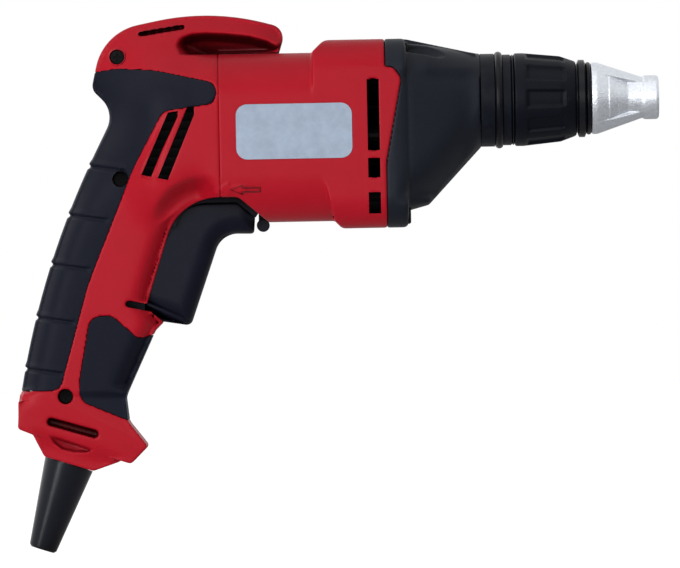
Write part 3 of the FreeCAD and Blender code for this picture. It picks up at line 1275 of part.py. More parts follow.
carrier_rear_x = snout_front_x - CARRIER_OVERLAP
key_front_x = snout_front_x - CARRIER_TRAVEL
flange_rear_x = carrier_front_x - CARRIER_FLANGE_LENGTH
nose_rear_x = -NOSE_LENGTH
carrier_round = CARRIER_FLANGE_LENGTH / 3
carrier_bore = SNOUT_RADIUS + SLIDE_GAP
carrier = turned([
    (carrier_rear_x, carrier_bore),
    (carrier_rear_x, SLEEVE_BORE - SLIDE_GAP),
    (flange_rear_x, SLEEVE_BORE - SLIDE_GAP),
    (flange_rear_x, CARRIER_FLANGE_RADIUS - carrier_round),
    (flange_rear_x + carrier_round / 2, CARRIER_FLANGE_RADIUS),
    (carrier_front_x - carrier_round / 2, CARRIER_FLANGE_RADIUS),
    (carrier_front_x, CARRIER_FLANGE_RADIUS - carrier_round),
    (carrier_front_x, CARRIER_SPIGOT_RADIUS + CARRIER_STEP),
    (nose_rear_x - SLIDE_GAP, CARRIER_SPIGOT_RADIUS + CARRIER_STEP),
    (nose_rear_x - SLIDE_GAP, CARRIER_SPIGOT_RADIUS),
    (nose_rear_x + CARRIER_SPIGOT_LENGTH, CARRIER_SPIGOT_RADIUS),
    (nose_rear_x + CARRIER_SPIGOT_LENGTH, carrier_bore),
])
for side in (-1, 1):
    low_z, high_z = sorted((side * (SNOUT_RADIUS - KEY_HEIGHT), side * (carrier_bore + KEY_HEIGHT)))
    carrier = carrier.fuse(box(Vector(key_front_x - KEY_LENGTH, -KEY_WIDTH / 2, low_z),
                               Vector(key_front_x, KEY_WIDTH / 2, high_z)))
parts["locator_carrier"] = carrier.removeSplitter()
carrier_ring_mean = CARRIER_SPIGOT_RADIUS + CARRIER_STEP + CARRIER_RING_RADIUS + FIT_GAP
parts["carrier_o_ring"] = ring(carrier_ring_mean, CARRIER_RING_RADIUS, nose_rear_x - NOSE_RING_ROOM / 2)

rim_x = nose_rear_x + NOSE_RIM_LENGTH
tip_x = -NOSE_TIP_LENGTH
long_cone = turned([
    (nose_rear_x, 0),
    (nose_rear_x, NOSE_BASE_RADIUS),
    (rim_x, NOSE_BASE_RADIUS),
    (tip_x - NOSE_CHAMFER, NOSE_NECK_RADIUS),
    (tip_x, NOSE_TIP_RADIUS),
    (-NOSE_CHAMFER, NOSE_TIP_RADIUS),
    (0, NOSE_TIP_RADIUS - NOSE_CHAMFER),
    (0, 0),
])
short_cone = turned([
    (nose_rear_x, 0),
    (nose_rear_x, NOSE_BASE_RADIUS),
    (rim_x, NOSE_BASE_RADIUS),
    (-NOSE_BARREL_LENGTH, NOSE_NECK_RADIUS),
    (tip_x - NOSE_CHAMFER, NOSE_NECK_RADIUS),
    (tip_x - NOSE_CHAMFER, 0),
])
wings = long_cone.common(box(Vector(tip_x - NOSE_CHAMFER, -NOSE_BASE_RADIUS, -NOSE_BASE_RADIUS),
                             Vector(0, NOSE_BASE_RADIUS, NOSE_BASE_RADIUS)))
nose = short_cone.fuse(wings)
for middle_angle in (90, 270):
    wing_sector = sector(NOSE_BASE_RADIUS, NOSE_BORE_RADIUS, nose_rear_x, tip_x, 0,
                         middle_angle, NOSE_WING_ANGLE)
    nose = nose.fuse(long_cone.common(wing_sector))
nose = nose.removeSplitter()
nose = nose.cut(turned([
    (nose_rear_x, 0),
    (nose_rear_x, CARRIER_SPIGOT_RADIUS + FIT_GAP),
    (nose_rear_x + CARRIER_SPIGOT_LENGTH + SLIDE_GAP, CARRIER_SPIGOT_RADIUS + FIT_GAP),
    (nose_rear_x + CARRIER_SPIGOT_LENGTH + SLIDE_GAP, NOSE_INNER_RADIUS),
    (-NOSE_BORE_LENGTH, NOSE_BORE_RADIUS),
    (0, NOSE_BORE_RADIUS),
    (0, 0),
]))
parts["nose_cone"] = nose


# Bearings
def bearing(name, bore, outside, width, start_x):
    """Outer ring, inner ring and balls of a bearing on the motor axis."""
    depth = (outside - bore) / 2
    middle = (outside + bore) / 4
    ball = BALL_SHARE * depth
    ring_wall = RING_SHARE * depth
    middle_x = start_x + width / 2
    track = ring(middle, ball + FIT_GAP, middle_x, motor_z)
    outer = tube(outside / 2, outside / 2 - ring_wall, start_x, start_x + width, motor_z)
    inner = tube(bore / 2 + ring_wall, bore / 2 + FIT_GAP, start_x, start_x + width, motor_z)
    balls = []
    for index in range(BALL_COUNT):
        angle = 2 * math.pi * index / BALL_COUNT
        balls.append(Part.makeSphere(ball, Vector(middle_x, middle * math.cos(angle),
                                                  motor_z + middle * math.sin(angle))))
    parts[name + "_bearing_outer"] = outer.cut(track)
    parts[name + "_bearing_inner"] = inner.cut(track)
    parts[name + "_bearing_balls"] = Part.makeCompound(balls)


bearing("front", FRONT_BEARING_BORE, FRONT_BEARING_OUTSIDE, FRONT_BEARING_WIDTH, bearing_rear_x)
bearing("rear", REAR_BEARING_BORE, REAR_BEARING_OUTSIDE, REAR_BEARING_WIDTH, rear_bearing_x)

# Armature
pinion_x = gear_x - PINION_OVERHANG
pinion = Part.Face(tooth_wire(PINION_TEETH, GEAR_SHIFT_SHARE, pinion_x, 90))
pinion = pinion.extrude(Vector(GEAR_WIDTH + 2 * PINION_OVERHANG, 0, 0)).translated(Vector(0, 0, motor_z))
step_x = rear_bearing_x + REAR_BEARING_WIDTH
shaft = rod(SHAFT_RADIUS, step_x, bearing_front_x, motor_z)
shaft = shaft.fuse(rod(REAR_BEARING_BORE / 2, shaft_rear_x, step_x, motor_z))
neck_radius = SHAFT_RADIUS - GEAR_MODULE
shaft = shaft.fuse(rod(neck_radius, bearing_front_x, pinion_x, motor_z)).fuse(pinion)
parts["armature_shaft"] = shaft.removeSplitter()
core = tube(armature_radius, SHAFT_RADIUS + FIT_GAP, stator_rear_x, stator_front_x, motor_z)
for index in range(ARMATURE_SLOTS):
    slot = box(Vector(stator_rear_x, -ARMATURE_SLOT_WIDTH / 2, armature_radius - ARMATURE_SLOT_DEPTH),
               Vector(stator_front_x, ARMATURE_SLOT_WIDTH / 2, armature_radius + ARMATURE_SLOT_DEPTH))
    slot.rotate(Vector(0, 0, 0), Vector(1, 0, 0), 360 * index / ARMATURE_SLOTS)
    core = core.cut(slot.translated(Vector(0, 0, motor_z)))
parts["armature_core"] = core
windings = []
for start_x, length in (
    (stator_front_x, WINDING_FRONT_LENGTH),
    (stator_rear_x - WINDING_REAR_LENGTH, WINDING_REAR_LENGTH),
):
    winding = tube(winding_radius, SHAFT_RADIUS + FIT_GAP, start_x, start_x + length, motor_z)
    far_x = start_x + length if start_x > stator_rear_x else start_x
    rim_edges = [edge for edge in edges_at(winding, far_x) if edge.BoundBox.YLength > winding_radius]
    windings.append(winding.makeFillet(WINDING_ROUNDING, rim_edges))
parts["armature_winding"] = Part.makeCompound(windings)
shaft_bore = SHAFT_RADIUS + FIT_GAP
commutator = tube(COMMUTATOR_RADIUS, shaft_bore, commutator_rear_x, commutator_front_x, motor_z)
riser = tube(RISER_RADIUS, shaft_bore, commutator_front_x - RISER_LENGTH, commutator_front_x, motor_z)
commutator = commutator.fuse(riser).removeSplitter()
slits = []
for index in range(COMMUTATOR_BARS):
    slit = box(Vector(commutator_rear_x, -COMMUTATOR_SLIT / 2, COMMUTATOR_RADIUS - COMMUTATOR_SLIT_DEPTH),
               Vector(commutator_front_x, COMMUTATOR_SLIT / 2, RISER_RADIUS + COMMUTATOR_SLIT_DEPTH))
    slit.rotate(Vector(0, 0, 0), Vector(1, 0, 0), 360 * index / COMMUTATOR_BARS)
    slits.append(slit.translated(Vector(0, 0, motor_z)))
parts["commutator"] = commutator.cut(Part.makeCompound(slits))
fan_front_x = joint_x - FAN_SETBACK
fan_disc_x = fan_front_x - FAN_WIDTH
fan_rear_x = fan_disc_x - FAN_DISC
fan = rod(fan_radius, fan_rear_x, fan_disc_x, motor_z)
fan = fan.fuse(rod(FAN_HUB_RADIUS, fan_disc_x, fan_front_x, motor_z))
for index in range(FAN_BLADES):
    blade = box(Vector(fan_disc_x, -FAN_BLADE_THICKNESS / 2, FAN_EYE_RADIUS),
                Vector(fan_front_x, FAN_BLADE_THICKNESS / 2, fan_radius - FAN_BLADE_THICKNESS))
    blade.rotate(Vector(0, 0, 0), Vector(1, 0, 0), 360 * index / FAN_BLADES)
    fan = fan.fuse(blade.translated(Vector(0, 0, motor_z)))
fan = fan.cut(rod(shaft_bore, fan_rear_x, fan_front_x, motor_z))
parts["cooling_fan"] = fan.removeSplitter()
baffle_x = fan_rear_x - BAFFLE_GAP - BAFFLE_THICKNESS
baffle = barrel_bar(baffle_x, baffle_x + BAFFLE_THICKNESS, BARREL_WALL + SLIDE_GAP)
parts["fan_baffle"] = baffle.cut(rod(BAFFLE_HOLE, baffle_x, baffle_x + BAFFLE_THICKNESS, motor_z))

# Stator
stator = tube(stator_radius, window_radius, stator_rear_x, stator_front_x, motor_z)
coils = []
for middle_angle in (90, 270):
    pole = sector(window_radius + STATOR_RIM / 2, pole_bore, stator_rear_x, stator_front_x, motor_z,
                  middle_angle, 2 * POLE_HALF_ANGLE)
    stator = stator.fuse(pole)
    loop = sector(window_radius - COIL_GAP, coil_inner_radius, stator_rear_x - COIL_REAR_OVERHANG,
                  stator_front_x + COIL_FRONT_OVERHANG, motor_z, middle_angle, 2 * COIL_HALF_ANGLE)
    room_angle = 2 * POLE_HALF_ANGLE + 2 * math.degrees(COIL_GAP / coil_inner_radius)
    pole_room = sector(stator_radius, pole_bore, stator_rear_x - COIL_GAP, stator_front_x + COIL_GAP,
                       motor_z, middle_angle, room_angle)
    coils.append(loop.cut(pole_room))
parts["stator_core"] = stator.removeSplitter()
parts["field_coils"] = Part.makeCompound(coils)

# Brush gear
sleeve_outside = REAR_BEARING_OUTSIDE / 2 + SLEEVE_RUBBER
parts["rear_bearing_sleeve"] = tube(sleeve_outside, REAR_BEARING_OUTSIDE / 2 + FIT_GAP, rear_bearing_x,
                                    rear_bearing_x + REAR_BEARING_WIDTH, motor_z)
cup_rear_x = shaft_rear_x - LOOSE_GAP - CUP_END
cup_front_x = rear_bearing_x + REAR_BEARING_WIDTH
cup = rod(sleeve_outside + CUP_WALL, cup_rear_x, cup_front_x, motor_z)
bridge_rear_x = seam_x - BRIDGE_RING_LENGTH
bridge_ring = barrel_bar(bridge_rear_x, seam_x, BARREL_WALL + LOOSE_GAP)
bridge_ring = bridge_ring.cut(rod(BRIDGE_RING_HOLE, bridge_rear_x, seam_x, motor_z))
bridge = bridge_ring.fuse(cup)
holder_half_x = BRUSH_WIDTH / 2 + SLIDE_GAP + HOLDER_WALL
holder_half_z = BRUSH_HEIGHT / 2 + SLIDE_GAP + HOLDER_WALL
for turn in (0, 180):
    arm = box(Vector(cup_rear_x, -BRIDGE_ARM_WIDTH / 2, sleeve_outside + CUP_WALL - BRIDGE_ARM_DEPTH / 3),
              Vector(seam_x, BRIDGE_ARM_WIDTH / 2, sleeve_outside + CUP_WALL + BRIDGE_ARM_DEPTH / 2))
    foot_low = sleeve_outside + CUP_WALL
    toe = box(Vector(bridge_rear_x, -BRIDGE_ARM_WIDTH / 2, foot_low),
              Vector(seam_x, BRIDGE_ARM_WIDTH / 2, BRIDGE_RING_HOLE + BRIDGE_ARM_DEPTH / 2))
    arm = arm.fuse(toe)
    arm.rotate(Vector(0, 0, 0), Vector(1, 0, 0), turn)
    bridge = bridge.fuse(arm.translated(Vector(0, 0, motor_z)))
for side in (-1, 1):
    for level in (-1, 1):
        low_z, high_z = sorted((level * holder_half_z, level * (holder_half_z + HOLDER_SHELF)))
        low_y, high_y = sorted((side * HOLDER_START, side * holder_end))
        bridge = bridge.fuse(box(Vector(brush_x - holder_half_x, low_y, motor_z + low_z),
                                 Vector(seam_x, high_y, motor_z + high_z)))
for cutter in (
    rod(sleeve_outside + FIT_GAP, rear_bearing_x, cup_front_x, motor_z),
    rod(REAR_BEARING_BORE, shaft_rear_x - LOOSE_GAP, cup_front_x, motor_z),
    rod(RISER_RADIUS + RISER_ROOM, cup_front_x, seam_x, motor_z),
    box(Vector(brush_x - holder_half_x - FIT_GAP, -holder_end - FIT_GAP, motor_z - holder_half_z),
        Vector(brush_x + holder_half_x + FIT_GAP, holder_end + FIT_GAP, motor_z + holder_half_z)),
    arch_keep,
    trigger_room,
):
    bridge = bridge.cut(cutter)
bridge_floor = place(0, OPENING_SHARES[1][1])[1] + ARCH_WALL + BRIDGE_FLOOR_GAP
bridge = bridge.cut(box(Vector(cup_rear_x, -BARREL_WIDTH, barrel_bottom),
                        Vector(seam_x, BARREL_WIDTH, bridge_floor)))
parts["brush_bridge"] = largest(bridge.removeSplitter())
holders = []
brushes = []
brush_springs = []
room_half_x = BRUSH_WIDTH / 2 + SLIDE_GAP
room_half_z = BRUSH_HEIGHT / 2 + SLIDE_GAP
for side in (-1, 1):
    low_y, high_y = sorted((side * HOLDER_START, side * holder_end))
    holder_tube = box(Vector(brush_x - holder_half_x, low_y, motor_z - holder_half_z + FIT_GAP),
                      Vector(brush_x + holder_half_x, high_y, motor_z + holder_half_z - FIT_GAP))
    low_y, high_y = sorted((side * 0, side * (holder_end - HOLDER_WALL)))
    holder_tube = holder_tube.cut(box(Vector(brush_x - room_half_x, low_y, motor_z - room_half_z),
                                      Vector(brush_x + room_half_x, high_y, motor_z + room_half_z)))
    holders.append(holder_tube)
    low_y, high_y = sorted((side * brush_start / 2, side * brush_end))
    brush = box(Vector(brush_x - BRUSH_WIDTH / 2, low_y, motor_z - BRUSH_HEIGHT / 2),
                Vector(brush_x + BRUSH_WIDTH / 2, high_y, motor_z + BRUSH_HEIGHT / 2))
    brushes.append(brush.cut(rod(brush_start, brush_x - BRUSH_WIDTH, brush_x + BRUSH_WIDTH, motor_z)))
    spring = coil(BRUSH_COIL_RADIUS, BRUSH_WIRE_RADIUS, BRUSH_SPRING_LENGTH - 2 * SLIDE_GAP, BRUSH_COILS)
    spring.rotate(Vector(0, 0, 0), Vector(1, 0, 0), -90 * side)
    spring_y = side * (brush_end + SLIDE_GAP)
    brush_springs.append(spring.translated(Vector(brush_x, spring_y, motor_z)))
parts["brush_holders"] = Part.makeCompound(holders)
parts["carbon_brushes"] = Part.makeCompound(brushes)
parts["brush_springs"] = Part.makeCompound(brush_springs)

# Trigger, switch and reverse lever
trigger = across(trigger_face, -TRIGGER_WIDTH / 2, TRIGGER_WIDTH / 2)
trigger_edges = outline_edges(trigger, TRIGGER_WIDTH / 2, lambda bounds: True)
trigger = trigger.makeFillet(TRIGGER_ROUNDING, trigger_edges)
trigger_hollow = side_prism(side_corners(TRIGGER_HOLLOW_SHARES), TRIGGER_HOLLOW_WIDTH)
trigger = trigger.cut(trigger_hollow)
web_z = TRIGGER_WEB_SHARE * HANDLE_DROP
web_rear_x = place(TRIGGER_WEB_REAR_SHARE, 0)[0]
web = box(Vector(web_rear_x, -TRIGGER_HOLLOW_WIDTH / 2 - BARREL_WALL / 2, web_z - TRIGGER_WEB_HEIGHT / 2),
          Vector(seam_x, TRIGGER_HOLLOW_WIDTH / 2 + BARREL_WALL / 2, web_z + TRIGGER_WEB_HEIGHT / 2))
web_limit = trigger_face.makeOffset2D(-TRIGGER_ROUNDING, join=2)
web = web.common(across(web_limit, -TRIGGER_WIDTH, TRIGGER_WIDTH))
trigger = trigger.fuse(web).removeSplitter()
pin_half = TRIGGER_PIN_LENGTH / 2
trigger = trigger.cut(cross_rod(TRIGGER_PIN_RADIUS + FIT_GAP, pivot_x, pivot_z,
                                -pin_half - SLIDE_GAP, pin_half + SLIDE_GAP))
parts["trigger"] = largest(trigger)
parts["trigger_pin"] = cross_rod(TRIGGER_PIN_RADIUS, pivot_x, pivot_z, -pin_half, pin_half)
plunger_front_x = web_rear_x - PLUNGER_GAP
switch = box(Vector(switch_rear_x, -SWITCH_WIDTH / 2, switch_low),
             Vector(switch_front_x, SWITCH_WIDTH / 2, switch_high))
switch = switch.makeFillet(SEAM_CHAMFER, switch.Edges)
switch = switch.cut(rod(PLUNGER_RADIUS + SLIDE_GAP, switch_front_x - PLUNGER_DEPTH, switch_front_x, web_z))
parts["switch_body"] = switch
travel_angle = math.radians(TRIGGER_TRAVEL)
web_reach = pivot_x - web_rear_x
web_drop = pivot_z - web_z
plunger_travel = (web_reach + web_drop * math.sin(travel_angle)) / math.cos(travel_angle) - web_reach
plunger_rear_x = switch_front_x - PLUNGER_DEPTH + plunger_travel + PLUNGER_GAP
parts["switch_plunger"] = rod(PLUNGER_RADIUS, plunger_rear_x, plunger_front_x, web_z)
spring_room = plunger_front_x - switch_front_x - SLIDE_GAP
trigger_spring = coil(TRIGGER_COIL_RADIUS, TRIGGER_WIRE_RADIUS, spring_room, TRIGGER_COILS)
trigger_spring = on_x_axis(trigger_spring, Vector(switch_front_x + SLIDE_GAP / 2, 0, web_z))
parts["trigger_spring"] = trigger_spring
capacitor_start = Vector(capacitor_x, 0, capacitor_z) - guard_axis * (CAPACITOR_LENGTH / 2)
parts["capacitor"] = Part.makeCylinder(CAPACITOR_RADIUS, CAPACITOR_LENGTH, capacitor_start, guard_axis)

eye = Part.makeCylinder(LEVER_EYE_RADIUS, LEVER_THICKNESS, Vector(lever_x, 0, lever_low))
arm = box(Vector(lever_x - LEVER_ARM - LEVER_STEM_DEPTH / 2, -LEVER_STEM_WIDTH / 2, lever_low),
          Vector(lever_x, LEVER_STEM_WIDTH / 2, lever_high))
knob_x = lever_x - LEVER_ARM
knob_z = barrel_bottom - KNOB_RADIUS / 2
stem = box(Vector(knob_x - LEVER_STEM_DEPTH / 2, -LEVER_STEM_WIDTH / 2, knob_z),
           Vector(knob_x + LEVER_STEM_DEPTH / 2, LEVER_STEM_WIDTH / 2, lever_high))
knob = cross_rod(KNOB_RADIUS, knob_x, knob_z, -KNOB_WIDTH / 2, KNOB_WIDTH / 2)
knob_edges = edges_where(knob, lambda edge, bounds: bounds.YLength < TINY)
knob = knob.makeFillet(SEAM_CHAMFER, knob_edges)
lever = eye.multiFuse([arm, stem, knob]).removeSplitter()
pivot_hole = Part.makeCylinder(LEVER_PIVOT_RADIUS + SLIDE_GAP, LEVER_THICKNESS, Vector(lever_x, 0, lever_low))
lever = lever.cut(pivot_hole)
parts["reverse_lever"] = lever

# Cord guard
guard_profile = [
    (-BARREL_WALL - GUARD_FLANGE_LENGTH - SLIDE_GAP, GUARD_BORE),
    (-BARREL_WALL - GUARD_FLANGE_LENGTH - SLIDE_GAP, GUARD_FLANGE_RADIUS),
    (-BARREL_WALL - SLIDE_GAP, GUARD_FLANGE_RADIUS),
    (-BARREL_WALL - SLIDE_GAP, GUARD_NECK_RADIUS),
    (SLIDE_GAP, GUARD_NECK_RADIUS),
    (SLIDE_GAP, GUARD_BASE_RADIUS),
    (GUARD_LENGTH - GUARD_END_ROUNDING, GUARD_END_RADIUS),
    (GUARD_LENGTH, GUARD_END_RADIUS - GUARD_END_ROUNDING),
    (GUARD_LENGTH, GUARD_BORE),
]
guard = turned(guard_profile)
guard.Placement = FreeCAD.Placement(guard_seat, Rotation(Vector(1, 0, 0), guard_axis))
parts["cord_guard"] = guard

os.makedirs("parts", exist_ok=True)
for name, shape in parts.items():
    shape.exportStep("parts/" + name + ".step")
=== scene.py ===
import json
import math

import bpy
import numpy as np
from mathutils import Matrix, Vector
from mathutils.bvhtree import BVHTree


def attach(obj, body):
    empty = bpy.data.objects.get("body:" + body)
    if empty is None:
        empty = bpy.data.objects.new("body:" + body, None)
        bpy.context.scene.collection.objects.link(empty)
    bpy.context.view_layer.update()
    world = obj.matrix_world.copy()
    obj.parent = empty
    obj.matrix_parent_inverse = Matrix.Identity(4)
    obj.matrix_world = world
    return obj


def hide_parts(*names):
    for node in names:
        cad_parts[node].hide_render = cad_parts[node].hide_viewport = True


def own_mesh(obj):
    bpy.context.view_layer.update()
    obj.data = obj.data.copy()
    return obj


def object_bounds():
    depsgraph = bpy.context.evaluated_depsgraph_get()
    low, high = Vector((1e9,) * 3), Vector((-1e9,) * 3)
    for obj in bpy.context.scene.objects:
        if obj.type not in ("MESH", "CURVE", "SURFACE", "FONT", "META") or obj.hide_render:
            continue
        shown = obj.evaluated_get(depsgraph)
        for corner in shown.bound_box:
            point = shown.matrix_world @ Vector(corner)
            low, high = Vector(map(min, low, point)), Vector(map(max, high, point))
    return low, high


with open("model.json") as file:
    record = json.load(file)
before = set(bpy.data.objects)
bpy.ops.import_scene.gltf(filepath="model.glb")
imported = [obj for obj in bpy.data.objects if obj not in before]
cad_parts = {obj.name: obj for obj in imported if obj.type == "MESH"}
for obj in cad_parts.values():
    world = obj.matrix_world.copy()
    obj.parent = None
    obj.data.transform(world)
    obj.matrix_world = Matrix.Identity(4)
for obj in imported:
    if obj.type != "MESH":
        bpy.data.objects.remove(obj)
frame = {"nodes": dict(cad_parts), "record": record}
cad_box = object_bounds()
scene = bpy.context.scene
nodes = frame["nodes"]
MM = 0.001
WHITE = (1.0, 1.0, 1.0, 1.0)
HANDS = (("right", -1), ("left", 1))


# Shader helpers
def add_node(tree, kind, settings=None, values=None):
    made = tree.nodes.new(kind)
    for name, value in (settings or {}).items():
        setattr(made, name, value)
    for name, value in (values or {}).items():
        made.inputs[name].default_value = value
    return made


def start_group(name, inputs, outputs):
    group = bpy.data.node_groups.new(name, "ShaderNodeTree")
    for label, kind, value in inputs:
        socket = group.interface.new_socket(label, in_out="INPUT", socket_type=kind)
        socket.default_value = value
    for label, kind in outputs:
        group.interface.new_socket(label, in_out="OUTPUT", socket_type=kind)
    entry = group.nodes.new("NodeGroupInput")
    leave = group.nodes.new("NodeGroupOutput")
    return group, entry, leave


NUMBER = "NodeSocketFloat"
FINE_SHARE = 0.5


def moulded_grain_group():
    """Fine moulded texture: a pebbled height and a slow change of tone."""
    group, entry, leave = start_group(
        "moulded_grain",
        [("Grain size", NUMBER, 2600.0), ("Mottle size", NUMBER, 60.0)],
        [("Height", NUMBER), ("Mottle", NUMBER)])
    place = add_node(group, "ShaderNodeTexCoord")
    pebbles = add_node(group, "ShaderNodeTexVoronoi", {"feature": "SMOOTH_F1"}, {"Smoothness": 0.6})
    fine = add_node(group, "ShaderNodeTexNoise", {}, {"Detail": 3.0, "Roughness": 0.6})
    mix = add_node(group, "ShaderNodeMath", {"operation": "MULTIPLY_ADD"}, {1: FINE_SHARE})
    slow = add_node(group, "ShaderNodeTexNoise", {}, {"Detail": 4.0, "Roughness": 0.55})
    links = group.links
    for texture in (pebbles, fine, slow):
        links.new(place.outputs["Object"], texture.inputs["Vector"])
    links.new(entry.outputs["Grain size"], pebbles.inputs["Scale"])
    links.new(entry.outputs["Grain size"], fine.inputs["Scale"])
    links.new(entry.outputs["Mottle size"], slow.inputs["Scale"])
    links.new(fine.outputs["Fac"], mix.inputs[0])
    links.new(pebbles.outputs["Distance"], mix.inputs[2])
    links.new(mix.outputs["Value"], leave.inputs["Height"])
    links.new(slow.outputs["Fac"], leave.inputs["Mottle"])
    return group


def edge_rub_group():
    """Mask of rubbed edges: convex edges, broken up by noise."""
    group, entry, leave = start_group(
        "edge_rub",
        [("Start", NUMBER, 0.52), ("Full", NUMBER, 0.62), ("Patch size", NUMBER, 180.0)],
        [("Mask", NUMBER)])
    shape = add_node(group, "ShaderNodeNewGeometry")
    ramp = add_node(group, "ShaderNodeMapRange", {"interpolation_type": "SMOOTHSTEP"})
    place = add_node(group, "ShaderNodeTexCoord")
    patches = add_node(group, "ShaderNodeTexNoise", {}, {"Detail": 5.0, "Roughness": 0.65})
    part = add_node(group, "ShaderNodeMapRange", {}, {"From Min": 0.35, "From Max": 0.65})
    both = add_node(group, "ShaderNodeMath", {"operation": "MULTIPLY"})
    links = group.links
    links.new(shape.outputs["Pointiness"], ramp.inputs["Value"])
    links.new(entry.outputs["Start"], ramp.inputs["From Min"])
    links.new(entry.outputs["Full"], ramp.inputs["From Max"])
    links.new(place.outputs["Object"], patches.inputs["Vector"])
    links.new(entry.outputs["Patch size"], patches.inputs["Scale"])
    links.new(patches.outputs["Fac"], part.inputs["Value"])
    links.new(ramp.outputs["Result"], both.inputs[0])
    links.new(part.outputs["Result"], both.inputs[1])
    links.new(both.outputs["Value"], leave.inputs["Mask"])
    return group


def dust_group():
    """Mask of dust: upward faces, in patches."""
    group, entry, leave = start_group(
        "settled_dust",
        [("Amount", NUMBER, 0.3), ("Patch size", NUMBER, 90.0)],
        [("Mask", NUMBER)])
    shape = add_node(group, "ShaderNodeNewGeometry")
    split = add_node(group, "ShaderNodeSeparateXYZ")
    up = add_node(group, "ShaderNodeMapRange", {}, {"From Min": 0.1, "From Max": 1.0})
    place = add_node(group, "ShaderNodeTexCoord")
    patches = add_node(group, "ShaderNodeTexNoise", {}, {"Detail": 6.0, "Roughness": 0.7})
    both = add_node(group, "ShaderNodeMath", {"operation": "MULTIPLY"})
    scaled = add_node(group, "ShaderNodeMath", {"operation": "MULTIPLY", "use_clamp": True})
    links = group.links
    links.new(shape.outputs["Normal"], split.inputs["Vector"])
    links.new(split.outputs["Z"], up.inputs["Value"])
    links.new(place.outputs["Object"], patches.inputs["Vector"])
    links.new(entry.outputs["Patch size"], patches.inputs["Scale"])
    links.new(up.outputs["Result"], both.inputs[0])
    links.new(patches.outputs["Fac"], both.inputs[1])
    links.new(both.outputs["Value"], scaled.inputs[0])
    links.new(entry.outputs["Amount"], scaled.inputs[1])
    links.new(scaled.outputs["Value"], leave.inputs["Mask"])
    return group


def turning_lines_group():
    """Fine rings round the tool's own axis, as a lathe leaves them."""
    group, entry, leave = start_group(
        "turning_lines",
        [("Line size", NUMBER, 1800.0), ("Wander", NUMBER, 0.03)],
        [("Height", NUMBER), ("Tone", NUMBER)])
    place = add_node(group, "ShaderNodeTexCoord")
    stretch = add_node(group, "ShaderNodeVectorMath", {"operation": "MULTIPLY"})
    squeeze = add_node(group, "ShaderNodeCombineXYZ", {}, {"X": 1.0})
    rings = add_node(group, "ShaderNodeTexNoise", {}, {"Detail": 4.0, "Roughness": 0.7})
    speckle = add_node(group, "ShaderNodeTexNoise", {}, {"Scale": 420.0, "Detail": 5.0, "Roughness": 0.7})
    links = group.links
    links.new(entry.outputs["Wander"], squeeze.inputs["Y"])
    links.new(entry.outputs["Wander"], squeeze.inputs["Z"])
    links.new(place.outputs["Object"], stretch.inputs[0])
    links.new(squeeze.outputs["Vector"], stretch.inputs[1])
    links.new(stretch.outputs["Vector"], rings.inputs["Vector"])
    links.new(entry.outputs["Line size"], rings.inputs["Scale"])
    links.new(place.outputs["Object"], speckle.inputs["Vector"])
    links.new(rings.outputs["Fac"], leave.inputs["Height"])
    links.new(speckle.outputs["Fac"], leave.inputs["Tone"])
    return group


def painted_shade_group():
    """Mask of painted shade: deep hollows, darkened where ambient occlusion finds the surface closed in."""
    group, entry, leave = start_group(
        "painted_hollow_shade",
        [("Reach", NUMBER, 0.022), ("Start", NUMBER, 0.70), ("Full", NUMBER, 0.30)],
        [("Mask", NUMBER)])
    openness = add_node(group, "ShaderNodeAmbientOcclusion", {"samples": 8})
    ramp = add_node(group, "ShaderNodeMapRange", {"interpolation_type": "SMOOTHSTEP"})
    links = group.links
    links.new(entry.outputs["Reach"], openness.inputs["Distance"])
    links.new(openness.outputs["AO"], ramp.inputs["Value"])
    links.new(entry.outputs["Start"], ramp.inputs["From Min"])
    links.new(entry.outputs["Full"], ramp.inputs["From Max"])
    links.new(ramp.outputs["Result"], leave.inputs["Mask"])
    return group


GRAIN = moulded_grain_group()
RUB = edge_rub_group()
DUST = dust_group()
TURNING = turning_lines_group()
# The last group paints shade into hollows through ambient occlusion
PAINTED_SHADE = painted_shade_group()


def place_group(tree, group, values=None):
    return add_node(tree, "ShaderNodeGroup", {"node_tree": group}, values)


def mix_colour(tree, mask, first, second):
    made = add_node(tree, "ShaderNodeMix", {"data_type": "RGBA"})
    tree.links.new(mask, made.inputs["Factor"])
    for socket, value in ((made.inputs["A"], first), (made.inputs["B"], second)):
        if isinstance(value, tuple):
            socket.default_value = (*value, 1.0)
        else:
            tree.links.new(value, socket)
    return made.outputs["Result"]


def start_finish(name, roughness, specular, metallic=0.0):
    finish = bpy.data.materials.new(name)
    finish.use_nodes = True
    shader = finish.node_tree.nodes["Principled BSDF"]
    shader.inputs["Roughness"].default_value = roughness
    shader.inputs["Specular IOR Level"].default_value = specular
    shader.inputs["Metallic"].default_value = metallic
    return finish, finish.node_tree, shader


def map_roughness(tree, shader, value, low, high):
    spread = add_node(tree, "ShaderNodeMapRange", {}, {"To Min": low, "To Max": high})
    tree.links.new(value, spread.inputs["Value"])
    tree.links.new(spread.outputs["Result"], shader.inputs["Roughness"])


def raise_grain(tree, shader, height, strength, distance):
    bump = add_node(tree, "ShaderNodeBump", {}, {"Strength": strength, "Distance": distance})
    tree.links.new(height, bump.inputs["Height"])
    tree.links.new(bump.outputs["Normal"], shader.inputs["Normal"])


# Finishes: each has its colour, the deeper tone of its mottle and, if moulded, the tone of its rubbed edges
DUST_COLOUR = (0.30, 0.29, 0.28)
DUST_AMOUNT = 0.04
# Painted shade: the share of the deeper tone that hollows are darkened to
PAINTED_SHADE_SHARE = 0.10
MOTTLE_SIZE = 55.0
GRAIN_HEIGHT = 0.0002
METAL_SPECULAR = 0.5
METAL_EDGE_GAIN = 1.2
CAST_EDGE = (0.85, 0.87, 0.90)
CAST_MOTTLE_SIZE = 900.0
CAST_GRAIN_HEIGHT = 0.0003


